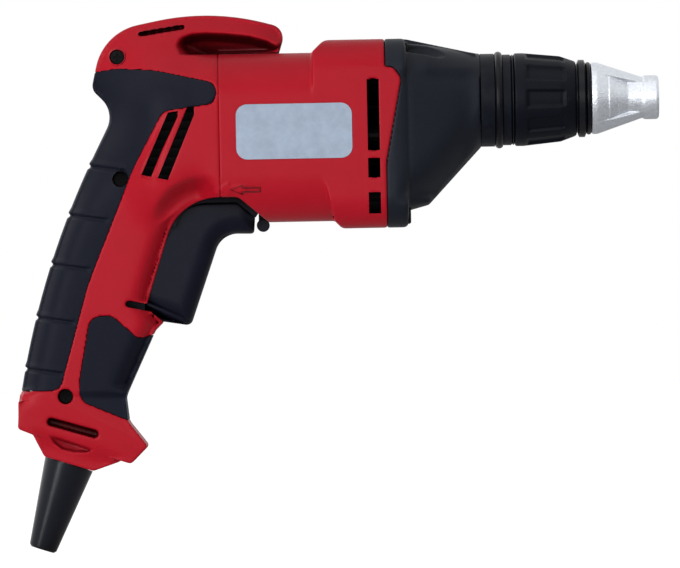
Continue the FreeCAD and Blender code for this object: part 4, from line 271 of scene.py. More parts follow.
def moulded(name, colour, deep, rubbed, roughness, specular, grain, bump):
    """A moulded plastic or rubber: mottled colour, rubbed edges, dust, painted shade in the hollows and a
    pebbled skin.
    """
    finish, tree, shader = start_finish(name, roughness[0], specular)
    skin = place_group(tree, GRAIN, {"Grain size": grain, "Mottle size": MOTTLE_SIZE})
    rub = place_group(tree, RUB)
    settled = place_group(tree, DUST, {"Amount": DUST_AMOUNT})
    # Painted shade: the base colour is darkened in hollows, found by ambient occlusion, towards a share of
    # the deeper tone
    hollow_shade = place_group(tree, PAINTED_SHADE)
    base = mix_colour(tree, skin.outputs["Mottle"], deep, colour)
    worn = mix_colour(tree, rub.outputs["Mask"], base, rubbed)
    dusty = mix_colour(tree, settled.outputs["Mask"], worn, DUST_COLOUR)
    dark = tuple(part * PAINTED_SHADE_SHARE for part in deep)
    shaded_colour = mix_colour(tree, hollow_shade.outputs["Mask"], dusty, dark)
    tree.links.new(shaded_colour, shader.inputs["Base Color"])
    map_roughness(tree, shader, skin.outputs["Mottle"], *roughness)
    raise_grain(tree, shader, skin.outputs["Height"], bump, GRAIN_HEIGHT)
    return finish


def metal(name, colour, deep, roughness, lines, bump, metallic=1.0):
    """A machined or ground metal: turning lines, speckle and brighter edges."""
    finish, tree, shader = start_finish(name, roughness[0], METAL_SPECULAR, metallic)
    cut = place_group(tree, TURNING, {"Line size": lines})
    rub = place_group(tree, RUB)
    base = mix_colour(tree, cut.outputs["Tone"], deep, colour)
    bright = tuple(min(1.0, part * METAL_EDGE_GAIN) for part in colour)
    worn = mix_colour(tree, rub.outputs["Mask"], base, bright)
    tree.links.new(worn, shader.inputs["Base Color"])
    map_roughness(tree, shader, cut.outputs["Tone"], *roughness)
    raise_grain(tree, shader, cut.outputs["Height"], bump, GRAIN_HEIGHT)
    return finish


def cast(name, colour, deep, roughness, grain, bump):
    """A rough cast and blasted metal: pebbled skin with a speckled tone."""
    finish, tree, shader = start_finish(name, roughness[0], METAL_SPECULAR, 1.0)
    skin = place_group(tree, GRAIN, {"Grain size": grain, "Mottle size": CAST_MOTTLE_SIZE})
    rub = place_group(tree, RUB)
    base = mix_colour(tree, skin.outputs["Mottle"], deep, colour)
    worn = mix_colour(tree, rub.outputs["Mask"], base, CAST_EDGE)
    tree.links.new(worn, shader.inputs["Base Color"])
    map_roughness(tree, shader, skin.outputs["Mottle"], *roughness)
    raise_grain(tree, shader, skin.outputs["Height"], bump, CAST_GRAIN_HEIGHT)
    return finish


FINISHES = {
    "red_plastic": moulded(
        "red_shell_plastic", (0.41, 0.005, 0.017), (0.355, 0.003, 0.011), (0.44, 0.02, 0.034),
        roughness=(0.38, 0.50), specular=0.13, grain=2600.0, bump=0.12),
    "soft_grip": moulded(
        "slate_grip_rubber", (0.0048, 0.0060, 0.0140), (0.0030, 0.0038, 0.0098), (0.012, 0.015, 0.025),
        roughness=(0.50, 0.62), specular=0.10, grain=2200.0, bump=0.20),
    "trigger_plastic": moulded(
        "slate_trigger_plastic", (0.0042, 0.0050, 0.0130), (0.0030, 0.0036, 0.0098), (0.010, 0.012, 0.021),
        roughness=(0.36, 0.46), specular=0.10, grain=2600.0, bump=0.08),
    "case_metal": moulded(
        "gear_case_paint", (0.0070, 0.0095, 0.0165), (0.0050, 0.0068, 0.0125), (0.016, 0.019, 0.027),
        roughness=(0.44, 0.56), specular=0.15, grain=1800.0, bump=0.25),
    "sleeve_plastic": moulded(
        "black_sleeve_plastic", (0.0024, 0.0036, 0.0080), (0.0016, 0.0025, 0.0058), (0.006, 0.008, 0.013),
        roughness=(0.38, 0.50), specular=0.09, grain=2400.0, bump=0.12),
    "dark_plastic": moulded(
        "dark_inner_plastic", (0.0040, 0.0048, 0.0105), (0.0028, 0.0034, 0.0076), (0.010, 0.011, 0.016),
        roughness=(0.45, 0.6), specular=0.10, grain=2400.0, bump=0.1),
    "ring_rubber": moulded(
        "black_ring_rubber", (0.0040, 0.0045, 0.0070), (0.0026, 0.0030, 0.0050), (0.006, 0.007, 0.010),
        roughness=(0.28, 0.36), specular=0.12, grain=3000.0, bump=0.05),
    "guard_rubber": moulded(
        "black_guard_rubber", (0.0016, 0.0030, 0.0085), (0.0011, 0.0021, 0.0062), (0.006, 0.008, 0.013),
        roughness=(0.20, 0.26), specular=0.24, grain=2600.0, bump=0.06),
    "felt": moulded(
        "seal_felt", (0.42, 0.39, 0.34), (0.30, 0.28, 0.24), (0.5, 0.47, 0.42),
        roughness=(0.85, 0.95), specular=0.2, grain=1400.0, bump=0.6),
    "nose_metal": cast(
        "nose_cast_alloy", (0.80, 0.83, 0.88), (0.50, 0.53, 0.58),
        roughness=(0.34, 0.50), grain=1500.0, bump=0.35),
    "plate_metal": metal(
        "plate_aluminium", (0.60, 0.61, 0.63), (0.45, 0.46, 0.48),
        roughness=(0.35, 0.5), lines=900.0, bump=0.12),
    "carrier_metal": moulded(
        "carrier_black_steel", (0.0048, 0.0054, 0.0080), (0.0030, 0.0034, 0.0056), (0.010, 0.011, 0.014),
        roughness=(0.26, 0.36), specular=0.14, grain=3000.0, bump=0.05),
    "label_metal": metal(
        "bare_label_foil", (0.235, 0.285, 0.365), (0.22, 0.268, 0.345),
        roughness=(0.36, 0.44), lines=900.0, bump=0.03, metallic=0.25),
    "steel": metal(
        "ground_steel", (0.60, 0.60, 0.61), (0.42, 0.42, 0.44),
        roughness=(0.25, 0.4), lines=1500.0, bump=0.1),
    "core_iron": metal(
        "core_sheet_iron", (0.30, 0.30, 0.31), (0.18, 0.18, 0.19),
        roughness=(0.45, 0.6), lines=2000.0, bump=0.4),
    "copper": metal(
        "wound_copper", (0.75, 0.36, 0.20), (0.5, 0.2, 0.1),
        roughness=(0.3, 0.45), lines=1200.0, bump=0.3),
    "brass": metal(
        "turned_brass", (0.75, 0.58, 0.28), (0.58, 0.42, 0.18),
        roughness=(0.28, 0.4), lines=1400.0, bump=0.1),
}
BLACK_SCREW = moulded(
    "blackened_screw_steel", (0.004, 0.004, 0.005), (0.002, 0.002, 0.003), (0.008, 0.008, 0.009),
    roughness=(0.4, 0.5), specular=0.08, grain=2400.0, bump=0.1)
ARROW_RED = moulded(
    "moulded_arrow_red", (0.15, 0.003, 0.006), (0.12, 0.002, 0.005), (0.20, 0.01, 0.015),
    roughness=(0.40, 0.50), specular=0.2, grain=2600.0, bump=0.08)
OWN_FINISH = {"handle_screws": BLACK_SCREW, "gear_housing_screws": BLACK_SCREW}

SLOT_OF = {part["node"]: part["material_slot"] for part in frame["record"]["subparts"]}

BODY_OF = {}
for body, members in frame["record"]["behaviour"]["bodies"].items():
    for name in members:
        BODY_OF[name] = body


def finish_of(name):
    return OWN_FINISH.get(name) or FINISHES[SLOT_OF[name]]


for name, solid in nodes.items():
    solid.data.materials.clear()
    solid.data.materials.append(finish_of(name))


# Outlines and relief maps, in millimetres in the side plane (x, z) of the tool
CELL = 0.5
CURVE_LIMIT = 0.49
BLUR_REACH = 3
MAP_EDGE = 1.001
OUTSIDE = 60.0
INWARD = Vector((0.0, 1.0, 0.0))


def smooth_step(low, high, value):
    share = np.clip((value - low) / (high - low), 0.0, 1.0)
    return share * share * (3.0 - 2.0 * share)


def rounded(corners, steps=6):
    """Points of an outline of (x, z, radius) corners, each corner eased into a curve."""
    made = []
    for index, (x, z, radius) in enumerate(corners):
        here = Vector((x, z))
        back = Vector(corners[index - 1][:2]) - here
        ahead = Vector(corners[(index + 1) % len(corners)][:2]) - here
        if radius == 0:
            made.append((x, z))
            continue
        run = radius / math.tan(back.angle(ahead) / 2)
        run = min(run, CURVE_LIMIT * back.length, CURVE_LIMIT * ahead.length)
        start = here + back.normalized() * run
        end = here + ahead.normalized() * run
        for step in range(steps + 1):
            share = step / steps
            point = start * (1 - share) ** 2 + here * 2 * share * (1 - share) + end * share ** 2
            made.append((point.x, point.y))
    return made


def line_distance(xs, zs, points):
    """Distance of each place from an open line of points."""
    nearest = np.full(xs.shape, np.inf)
    for (ax, az), (bx, bz) in zip(points[:-1], points[1:]):
        span = (bx - ax) ** 2 + (bz - az) ** 2
        share = np.clip(((xs - ax) * (bx - ax) + (zs - az) * (bz - az)) / span, 0.0, 1.0)
        nearest = np.minimum(nearest, np.hypot(xs - ax - share * (bx - ax), zs - az - share * (bz - az)))
    return nearest


def inside_distance(xs, zs, points):
    """Distance of each place from a closed outline, positive inside it."""
    loop = list(points) + [points[0]]
    inside = np.zeros(xs.shape, dtype=bool)
    for (ax, az), (bx, bz) in zip(loop[:-1], loop[1:]):
        if az == bz:
            continue
        crosses = (az > zs) != (bz > zs)
        inside ^= crosses & (xs < ax + (zs - az) / (bz - az) * (bx - ax))
    nearest = line_distance(xs, zs, loop)
    return np.where(inside, nearest, -nearest)


def side_grid(low, high):
    """Even places over a stretch of the side plane."""
    return np.meshgrid(np.arange(low[0], high[0], CELL), np.arange(low[1], high[1], CELL), indexing="ij")


def side_heights(pieces, xs, zs):
    """How far the pieces stand out from the middle plane on the right side."""
    corners = []
    faces = []
    for piece in pieces:
        start = len(corners)
        corners += [corner.co / MM for corner in piece.data.vertices]
        faces += [[start + index for index in face.vertices] for face in piece.data.polygons]
    solid = BVHTree.FromPolygons(corners, faces)
    heights = np.zeros(xs.shape)
    for cell in np.ndindex(xs.shape):
        hit = solid.ray_cast(Vector((xs[cell], -OUTSIDE, zs[cell])), INWARD, OUTSIDE)[0]
        if hit is not None:
            heights[cell] = -hit.y
    return heights


def spread_out(values, reach, pick):
    """The largest or smallest value within reach of each cell."""
    steps = round(reach / CELL)
    for axis in (0, 1):
        kept = values
        for shift in range(-steps, steps + 1):
            values = pick(values, np.roll(kept, shift, axis))
    return values


def rim_distance(mask, reach):
    """How far each cell of a mask lies from its rim, up to reach."""
    depth = np.zeros(mask.shape)
    while mask.any() and depth.max() < reach:
        depth += mask * CELL
        mask = spread_out(mask, CELL, np.logical_and)
    return depth


def blurred(heights, spread):
    steps = round(BLUR_REACH * spread / CELL)
    for axis in (0, 1):
        total = np.zeros(heights.shape)
        weights = 0.0
        for shift in range(-steps, steps + 1):
            weight = math.exp(-0.5 * (shift * CELL / spread) ** 2)
            total += weight * np.roll(heights, shift, axis)
            weights += weight
        heights = total / weights
    return heights


def read_map(values, low, points):
    """Values of a side map at points given in metres, read between cells."""
    place = (points[:, (0, 2)] / MM - np.array(low)) / CELL
    limit = np.array(values.shape) - MAP_EDGE
    place = np.clip(place, 0.0, limit)
    cell = place.astype(int)
    share = place - cell
    i, k = cell[:, 0], cell[:, 1]
    u, v = share[:, 0], share[:, 1]
    lower = values[i, k] * (1 - u) + values[i + 1, k] * u
    upper = values[i, k + 1] * (1 - u) + values[i + 1, k + 1] * u
    return lower * (1 - v) + upper * v


# Relief of a moulded side: the height that its outer skin is brought to
SKIN_DEPTH = 0.8
SKIN_REACH = 1.0
SKIN_LEAN = -0.02
LEAST_HEIGHT = 0.5
SURE_HEIGHT = 6.0
RIM_START = 1.0
RIM_FULL = 4.0
RIM_LIMIT = RIM_FULL + 1.0
HOLE_SPREAD = 2.0
SHARE_SPREAD = 1.5
LEAST_WEIGHT = 1e-6


def filled(values, known, spread):
    """The values where they are known, and elsewhere an even mean of those around."""
    total = blurred(np.where(known, values, 0.0), spread)
    weight = np.maximum(blurred(known.astype(float), spread), LEAST_WEIGHT)
    return np.where(known, values, total / weight)


def side_relief(pieces, low, high, holes, design):
    """Maps of the wanted height, its share of the plain one, the skin's floor and its weight."""
    xs, zs = side_grid(low, high)
    raw = side_heights(pieces, xs, zs)
    hole = holes(xs, zs)
    plain = filled(raw, ~hole, HOLE_SPREAD)
    wanted = np.maximum(design(xs, zs, plain), LEAST_HEIGHT)
    rim = rim_distance(plain > LEAST_HEIGHT, RIM_LIMIT)
    sure = (plain > SURE_HEIGHT) & (rim > RIM_START)
    share = filled(wanted / np.maximum(plain, SURE_HEIGHT), sure, SHARE_SPREAD)
    floor = spread_out(raw, SKIN_REACH, np.minimum)
    weight = smooth_step(RIM_START, RIM_FULL, rim) * ~hole
    return {"low": low, "wanted": wanted, "share": share, "floor": floor, "weight": weight}


def follow_relief(relief, cover=None, cover_depth=0.0):
    """Bring the outer skin to the relief's height, lower under a cover, and scale the rest by its share."""
    def shaped(points, normals):
        side = np.sign(points[:, 1])
        height = np.abs(points[:, 1]) / MM
        share, wanted, floor, weight = (read_map(relief[key], relief["low"], points)
                                        for key in ("share", "wanted", "floor", "weight"))
        if cover is not None:
            sunk = cover_depth * read_map(cover, relief["low"], points)
            wanted = wanted - sunk
            floor = floor - sunk
        outer = (normals[:, 1] * side > SKIN_LEAN) & (height > floor - SKIN_DEPTH)
        weight = weight * outer
        made = points.copy()
        made[:, 1] = side * (height * share * (1 - weight) + wanted * weight) * MM
        return made
    return shaped


# Places on the handle and the barrel, read off the side view
HANDLE_LOW = (-294.0, -168.0)
HANDLE_HIGH = (-160.0, 48.0)
BARREL_TOP = 22.5
SEAM_X = -197.6
OPENING = [(-232.1, -90.3, 1.9), (-216.4, -41.6, 24.1), (-189.7, -41.6, 4.6), (-172.6, -56.2, 0.0),
           (-172.6, -97.8, 0.0), (-223.3, -97.8, 0.0)]
SCOOP = [(-216.7, 26.7), (-215.7, 29.4), (-213.9, 31.3), (-209.4, 33.0), (-202.7, 33.3), (-193.9, 32.7),
         (-182.8, 31.4), (-174.8, 29.0), (-170.0, 26.3), (-160.0, 22.0), (-160.0, 0.0), (-205.0, 0.0),
         (-212.0, 18.0), (-215.8, 24.5)]
FOOT_RIDGE = ((-264.5, -134.8), (-231.6, -151.4))
FOOT_HOLLOW = [(-277.1, -146.1), (-274.5, -150.6), (-271.0, -153.3), (-265.7, -154.7), (-259.5, -154.8),
               (-256.0, -153.6)]
FOOT_SLOT = [(-275.4, -140.7), (-256.2, -146.4)]
HUMP_SLOT = [(-232.2, 32.4), (-213.5, 35.2)]
TRIGGER_SLOT = [(-239.7, -88.5), (-228.2, -91.0)]
GRIP_SCREW = (-242.4, -32.6)
HANDLE_SCREWS = [(-243.0, 22.3), GRIP_SCREW, (-268.8, -129.4)]
REAR_VENTS = [
    [(-232.7, -31.0), (-228.3, -32.0), (-215.6, -2.8), (-220.2, -3.4)],
    [(-225.4, -32.6), (-220.8, -33.6), (-208.5, -4.6), (-208.5, -0.8), (-211.6, -1.2)],
]
FRONT_VENTS = [
    [(-131.3, low), (-125.9, low), (-125.9, high), (-131.3, high)]
    for low, high in ((-22.0, 9.8), (-34.1, -25.4), (-50.2, -40.7))
]

# Handle holes, with the room round them that the relief leaves alone
SCREW_ROOM = 3.9
SLOT_ROOM = 2.6
HUMP_SLOT_ROOM = 1.4
REAR_VENT_ROOM = 0.8


def handle_holes(xs, zs):
    """Places of the handle's screw holes, slots and vents."""
    hole = np.zeros(xs.shape, dtype=bool)
    for x, z in HANDLE_SCREWS:
        hole |= np.hypot(xs - x, zs - z) < SCREW_ROOM
    for line, room in ((FOOT_SLOT, SLOT_ROOM), (HUMP_SLOT, HUMP_SLOT_ROOM), (TRIGGER_SLOT, SLOT_ROOM)):
        hole |= line_distance(xs, zs, line) < room
    for outline in REAR_VENTS:
        hole |= inside_distance(xs, zs, outline) > -REAR_VENT_ROOM
    return hole


# Handle sides: soft swells, softest beside the barrel, and level at the foot
SWELL_LEVELS = (-60.0, -25.0)
UPPER_SOFTNESS = 7.0
LOWER_SOFTNESS = 4.0
BEHIND_SEAM = (SEAM_X - 1.0, SEAM_X - 13.0)
OVER_BARREL = (BARREL_TOP, BARREL_TOP + 2.0)
FOOT_LEVELS = (-129.0, -124.0)
FOOT_SOFTNESS = 2.2
LEAST_COVER = 0.05


def soften_sides(xs, zs, plain):
    swell = smooth_step(*SWELL_LEVELS, zs)
    soft = blurred(plain, UPPER_SOFTNESS) * swell + blurred(plain, LOWER_SOFTNESS) * (1 - swell)
    clear_of_seam = np.maximum(smooth_step(*BEHIND_SEAM, xs), smooth_step(*OVER_BARREL, zs))
    above_foot = smooth_step(*FOOT_LEVELS, zs)
    shaped = plain + (soft - plain) * clear_of_seam * above_foot
    cover = blurred((plain > LEAST_HEIGHT).astype(float), FOOT_SOFTNESS)
    level = blurred(plain, FOOT_SOFTNESS) / np.maximum(cover, LEAST_COVER)
    return shaped + (level - plain) * (1 - above_foot)


# Arch above the trigger: its edge lies lower than the sides
ARCH_BAND = (2.0, 10.5)
ARCH_BEHIND_SEAM = (SEAM_X - 0.5, SEAM_X - 12.0)
ARCH_LEVELS = (-86.0, -70.0)
ARCH_HEIGHT = 19.5


def lower_arch(xs, zs, shaped):
    from_arch = -inside_distance(xs, zs, rounded(OPENING))
    band = 1 - smooth_step(*ARCH_BAND, from_arch)
    band *= smooth_step(*ARCH_BEHIND_SEAM, xs) * smooth_step(*ARCH_LEVELS, zs)
    return shaped + (np.minimum(ARCH_HEIGHT, shaped) - shaped) * band


# Scoop under the hook: a steep wall, then a slope towards the middle
SCOOP_DEPTH = 10.3
SCOOP_WALL = 0.5
SCOOP_WALL_RUN = 0.45
SCOOP_SLOPE = 0.45
SCOOP_LEVELS = (BARREL_TOP - 0.1, BARREL_TOP + 0.4)


def hollow_scoop(xs, zs, shaped):
    into_scoop = np.clip(inside_distance(xs, zs, SCOOP) / SCOOP_DEPTH, 0.0, 1.0)
    scoop = SCOOP_WALL * smooth_step(0.0, SCOOP_WALL_RUN, into_scoop) + SCOOP_SLOPE * into_scoop
    return shaped * (1 - scoop * smooth_step(*SCOOP_LEVELS, zs))


# Foot: two facets that meet in a ridge, a hollow and two slots
FACET_ABOVE = (0.17, 14.0)
FACET_BELOW = (0.09, 12.0)
FACET_LEVELS = (-127.0, -131.0)
HOLLOW_EDGE = 0.8
HOLLOW_DEPTH = 1.5
HOLLOW_SLOPE = 0.9
SLOT_DEPTH = 6.0
FOOT_SLOT_EDGE = (1.9, 1.2)
HUMP_SLOT_EDGE = (1.0, 0.5)


def shape_foot(xs, zs, shaped):
    (ridge_x, ridge_z), (tip_x, tip_z) = FOOT_RIDGE
    run = math.hypot(tip_x - ridge_x, tip_z - ridge_z)
    above = ((zs - ridge_z) * (tip_x - ridge_x) - (xs - ridge_x) * (tip_z - ridge_z)) / run
    slope_above, reach_above = FACET_ABOVE
    slope_below, reach_below = FACET_BELOW
    facet = slope_above * np.clip(above, 0.0, reach_above) + slope_below * np.clip(-above, 0.0, reach_below)
    shaped = shaped - facet * smooth_step(*FACET_LEVELS, zs)
    in_hollow = smooth_step(0.0, HOLLOW_EDGE, inside_distance(xs, zs, FOOT_HOLLOW))
    shaped = shaped - in_hollow * (HOLLOW_DEPTH + HOLLOW_SLOPE * line_distance(xs, zs, FOOT_HOLLOW))
    shaped = shaped - SLOT_DEPTH * smooth_step(*FOOT_SLOT_EDGE, line_distance(xs, zs, FOOT_SLOT))
    return shaped - SLOT_DEPTH * smooth_step(*HUMP_SLOT_EDGE, line_distance(xs, zs, HUMP_SLOT))


def handle_design(xs, zs, plain):
    """Height of the handle's side, hook and foot."""
    shaped = soften_sides(xs, zs, plain)
    for change in (lower_arch, hollow_scoop, shape_foot):
        shaped = change(xs, zs, shaped)
    return shaped


# Steps across the back of the rear grip
STEP_STARTS = [(-251.9, -26.2), (-260.4, -48.1), (-268.9, -70.0), (-276.1, -93.7), (-281.5, -116.6)]
STEP_RUN = Vector((0.988, -0.155))
STEP_LENGTH = 11.5
STEP_END = (STEP_LENGTH + 1.5, STEP_LENGTH - 1.0)
STEP_LIP = 0.35
STEP_LIP_RISE = (-3.0, -0.4)
STEP_LIP_FALL = (0.5, 0.0)
STEP_DEPTH = 0.8
STEP_GROOVE_FALL = (-0.1, 0.6)
STEP_GROOVE_RISE = (2.6, 1.0)
HANDLE_MIDDLE = [(-140.0, -268.0), (-75.0, -255.0), (0.0, -232.0)]


def step_grip(points, normals):
    """Move the outer skin of the grip out to a lip and in to a groove at each step."""
    places = points[:, (0, 2)] / MM
    offset = np.zeros(len(points))
    for start in STEP_STARTS:
        away = places - np.array(start)
        along = away[:, 0] * STEP_RUN.x + away[:, 1] * STEP_RUN.y
        below = away[:, 0] * STEP_RUN.y - away[:, 1] * STEP_RUN.x
        reach = smooth_step(*STEP_END, along)
        lip = STEP_LIP * smooth_step(*STEP_LIP_RISE, below) * smooth_step(*STEP_LIP_FALL, below)
        groove = STEP_DEPTH * smooth_step(*STEP_GROOVE_FALL, below) * smooth_step(*STEP_GROOVE_RISE, below)
        offset += reach * (lip - groove)
    levels, middles = zip(*HANDLE_MIDDLE)
    ahead = places[:, 0] - np.interp(places[:, 1], levels, middles)
    outward = (normals[:, 0] * ahead + normals[:, 1] * (points[:, 1] / MM)) > 0
    return points + normals * (offset * outward * MM)[:, None]


# Trigger relief: rounded across towards the finger, with a crease above its tip
TRIGGER_FACE = rounded([(-182.5, -53.0, 0.0), (-183.1, -58.0, 1.5), (-197.8, -57.7, 10.2),
                        (-212.2, -98.8, 2.8), (-236.0, -91.0, 0.0)])
TRIGGER_ROUND = 9.0
TRIGGER_EDGE_SHARE = 0.42
TRIGGER_CREASE = [(-230.9, -88.2), (-211.9, -97.0)]
TRIGGER_CREASE_SHARE = 0.07
TRIGGER_CREASE_EDGE = (1.2, 0.2)


def round_trigger(points, normals):
    xs, zs = points[:, 0] / MM, points[:, 2] / MM
    share = np.clip(line_distance(xs, zs, TRIGGER_FACE) / TRIGGER_ROUND, 0.0, 1.0)
    swell = TRIGGER_EDGE_SHARE + (1 - TRIGGER_EDGE_SHARE) * np.sqrt(1 - (1 - share) ** 2)
    crease = TRIGGER_CREASE_SHARE * smooth_step(*TRIGGER_CREASE_EDGE, line_distance(xs, zs, TRIGGER_CREASE))
    made = points.copy()
    made[:, 1] *= swell - crease
    return made


# Gear case relief: one smooth swell from the motor to the collar
CASE_LOW = (-130.0, -64.0)
CASE_HIGH = (-60.0, 36.0)
CASE_REAR = (-120.0, -110.0)
CASE_FRONT = (-80.0, -90.0)
CASE_SOFTNESS = 6.0
CASE_TOP = (15.0, 8.0)
CASE_BOTTOM = (-47.0, -40.0)
FRONT_VENT_ROOM = 1.4


def case_holes(xs, zs):
    """Places of the vents beside the gear case."""
    hole = np.zeros(xs.shape, dtype=bool)
    for outline in FRONT_VENTS:
        hole |= inside_distance(xs, zs, outline) > -FRONT_VENT_ROOM
    return hole


def case_design(xs, zs, plain):
    """Height of the gear case's side."""
    weight = smooth_step(*CASE_REAR, xs) * smooth_step(*CASE_FRONT, xs)
    return plain + (blurred(plain, CASE_SOFTNESS) - plain) * weight


def shape_case(relief):
    """Follow the case's relief between the screw channels of its upper and lower corners."""
    follow = follow_relief(relief)

    def shaped(points, normals):
        levels = points[:, 2] / MM
        share = smooth_step(*CASE_TOP, levels) * smooth_step(*CASE_BOTTOM, levels)
        return points + (follow(points, normals) - points) * share[:, None]
    return shaped


# Nose cone: a fuller wall where the end of the locator carrier sits
AXIS_ROOM = 0.1
CARRIER_END_X = -22.3
CARRIER_END_RADIUS = 13.3
NOSE_CORNER_REACH = 0.3
NOSE_WALL_GAIN = 0.6
NOSE_COVER = 0.45
NOSE_COVER_SLOPE = 0.62
NOSE_SKIN_LEAN = 0.2


def fill_nose_wall(points):
    """Draw the inner corner of the nose's bore in, so that its wall keeps some thickness."""
    radius = np.hypot(points[:, 1], points[:, 2]) / MM
    at_end = np.abs(points[:, 0] / MM - CARRIER_END_X) < NOSE_CORNER_REACH
    corner = at_end & (np.abs(radius - CARRIER_END_RADIUS) < NOSE_CORNER_REACH)
    made = points.copy()
    made[corner, 1:] *= (CARRIER_END_RADIUS - NOSE_WALL_GAIN) / CARRIER_END_RADIUS
    return made


def swell_nose(points, normals):
    """Keep the outer skin clear of the end of the carrier."""
    radius = np.maximum(np.hypot(points[:, 1], points[:, 2]), AXIS_ROOM * MM)
    outward = (normals[:, 1] * points[:, 1] + normals[:, 2] * points[:, 2]) / radius
    away = np.abs(points[:, 0] / MM - CARRIER_END_X)
    least = (CARRIER_END_RADIUS + NOSE_COVER - NOSE_COVER_SLOPE * away) * MM
    wanted = np.where(outward > NOSE_SKIN_LEAN, np.maximum(radius, least), radius)
    made = points.copy()
    made[:, 1:] *= (wanted / radius)[:, None]
    return made


# Foot corner: its upper rear corner reaches up to the end of the grip
FOOT_CORNER_TOP = -128.4
FOOT_CORNER_LOW = -138.0
FOOT_CORNER_GAIN = 0.5
FOOT_CORNER_EDGE = (FOOT_CORNER_TOP + 0.6, FOOT_CORNER_TOP)
FOOT_CORNER_RUN = (-278.0, -284.5)


def square_foot(points, normals):
    xs, zs = points[:, 0] / MM, points[:, 2] / MM
    rise = np.clip((zs - FOOT_CORNER_LOW) / (FOOT_CORNER_TOP - FOOT_CORNER_LOW), 0.0, 1.0)
    gain = FOOT_CORNER_GAIN * rise * smooth_step(*FOOT_CORNER_EDGE, zs)
    made = points.copy()
    made[:, 0] -= gain * smooth_step(*FOOT_CORNER_RUN, xs) * MM
    return made


# Panels sunk round the depth sleeve
SLEEVE_STATIONS = [-65.1, -61.1, -44.4, -37.1]
SLEEVE_RADII = [20.9, 20.9, 19.2, 16.9]
SLEEVE_SKIN = 2.6
PANEL_COUNT = 10
PANEL_HALF_ANGLE = math.radians(12.5)
PANEL_FLAT_SHARE = 0.7
PANEL_START = -60.2
PANEL_END = -41.5
PANEL_EDGE = 2.0
PANEL_DEPTH = 1.35
PANEL_LEAST = 0.02


def sink_panels(points, normals):
    """Draw the outer skin of the sleeve down to an even floor in each panel."""
    xs = points[:, 0] / MM
    radius = np.hypot(points[:, 1], points[:, 2]) / MM
    angle = np.arctan2(points[:, 1], points[:, 2])
    pitch = 2 * math.pi / PANEL_COUNT
    turn = np.abs((angle / pitch) % 1.0 - 0.5) * pitch
    outer = np.interp(xs, SLEEVE_STATIONS, SLEEVE_RADII)
    across = smooth_step(PANEL_HALF_ANGLE, PANEL_FLAT_SHARE * PANEL_HALF_ANGLE, turn)
    along = smooth_step(PANEL_START, PANEL_START + PANEL_EDGE, xs)
    along = along * smooth_step(PANEL_END, PANEL_END - PANEL_EDGE, xs)
    in_panel = (radius > outer - SLEEVE_SKIN) & (across * along > PANEL_LEAST)
    wanted = np.where(in_panel, outer - PANEL_DEPTH * across * along, radius)
    made = points.copy()
    made[:, 1:] *= (wanted / np.maximum(radius, AXIS_ROOM))[:, None]
    return made


# Making and dressing pieces
SHARP_EDGE = math.radians(50.0)


def add_piece(name, data):
    piece = bpy.data.objects.new(name, data)
    scene.collection.objects.link(piece)
    return piece


def new_piece(name, corners, faces):
    """A piece from its corners, in metres, and its faces."""
    mesh = bpy.data.meshes.new(name)
    mesh.from_pydata(corners, [], faces)
    return add_piece(name, mesh)


def side_prism(name, outline, near, far):
    """A closed prism with an (x, z) outline in millimetres, from near to far across the tool."""
    count = len(outline)
    corners = [(x * MM, y * MM, z * MM) for y in (near, far) for x, z in outline]
    faces = [tuple(range(count)), tuple(range(2 * count - 1, count - 1, -1))]
    for index in range(count):
        after = (index + 1) % count
        faces.append((index, index + count, after + count, after))
    return new_piece(name, corners, faces)


def add_modifier(piece, name, kind, **settings):
    made = piece.modifiers.new(name, kind)
    for label, value in settings.items():
        setattr(made, label, value)


def bake(piece):
    shown = piece.evaluated_get(bpy.context.evaluated_depsgraph_get())
    made = bpy.data.meshes.new_from_object(shown)
    piece.modifiers.clear()
    piece.data = made


def points_of(piece):
    flat = np.empty(len(piece.data.vertices) * 3)
    piece.data.vertices.foreach_get("co", flat)
    return flat.reshape(-1, 3)


def normals_of(piece):
    flat = np.empty(len(piece.data.vertices) * 3)
    piece.data.vertex_normals.foreach_get("vector", flat)
    return flat.reshape(-1, 3)


def move_points(piece, points):
    piece.data.vertices.foreach_set("co", points.ravel())
    piece.data.update()


def dress(piece, name, finish=None):
    """Give a piece its finish and smooth shading, and let it ride with the body of a node."""
    piece.data.materials.clear()
    piece.data.materials.append(finish or finish_of(name))
    piece.data.polygons.foreach_set("use_smooth", np.ones(len(piece.data.polygons), dtype=bool))
    piece.data.set_sharp_from_angle(angle=SHARP_EDGE)
    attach(piece, BODY_OF[name])


# Moulded skins: each moulded solid remade with soft edges and its relief
EASING = 0.5
VENT_REACH = (14.0, 45.0)


def cut_vents(piece, outlines, sides):
    for outline in outlines:
        for side in sides:
            near, far = sorted((side * VENT_REACH[0], side * VENT_REACH[1]))
            cutter = side_prism("vent_cutter", outline, near, far)
            add_modifier(piece, "vent", "BOOLEAN", operation="DIFFERENCE", solver="MANIFOLD", object=cutter)
            bake(piece)
            bpy.data.objects.remove(cutter)


def remade(name, cell, passes, prepare=None):
    """A copy of a solid in even cells, with its edges relaxed."""
    piece = add_piece(name + "_skin", nodes[name].data.copy())
    if prepare:
        move_points(piece, prepare(points_of(piece)))
    add_modifier(piece, "cells", "REMESH", mode="VOXEL", voxel_size=cell * MM)
    add_modifier(piece, "soft", "SMOOTH", factor=EASING, iterations=passes)
    bake(piece)
    return piece


def shape_skin(piece, *shapes, passes):
    for shape in shapes:
        move_points(piece, shape(points_of(piece), normals_of(piece)))
    add_modifier(piece, "even", "SMOOTH", factor=EASING, iterations=passes)
    bake(piece)


def close_skin(piece, name, share, vents=(), sides=()):
    """Thin the skin out, cut its vents and put it in the place of its node."""
    add_modifier(piece, "thin", "DECIMATE", ratio=share)
    bake(piece)
    cut_vents(piece, vents, sides)
    dress(piece, name)
    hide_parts(name)


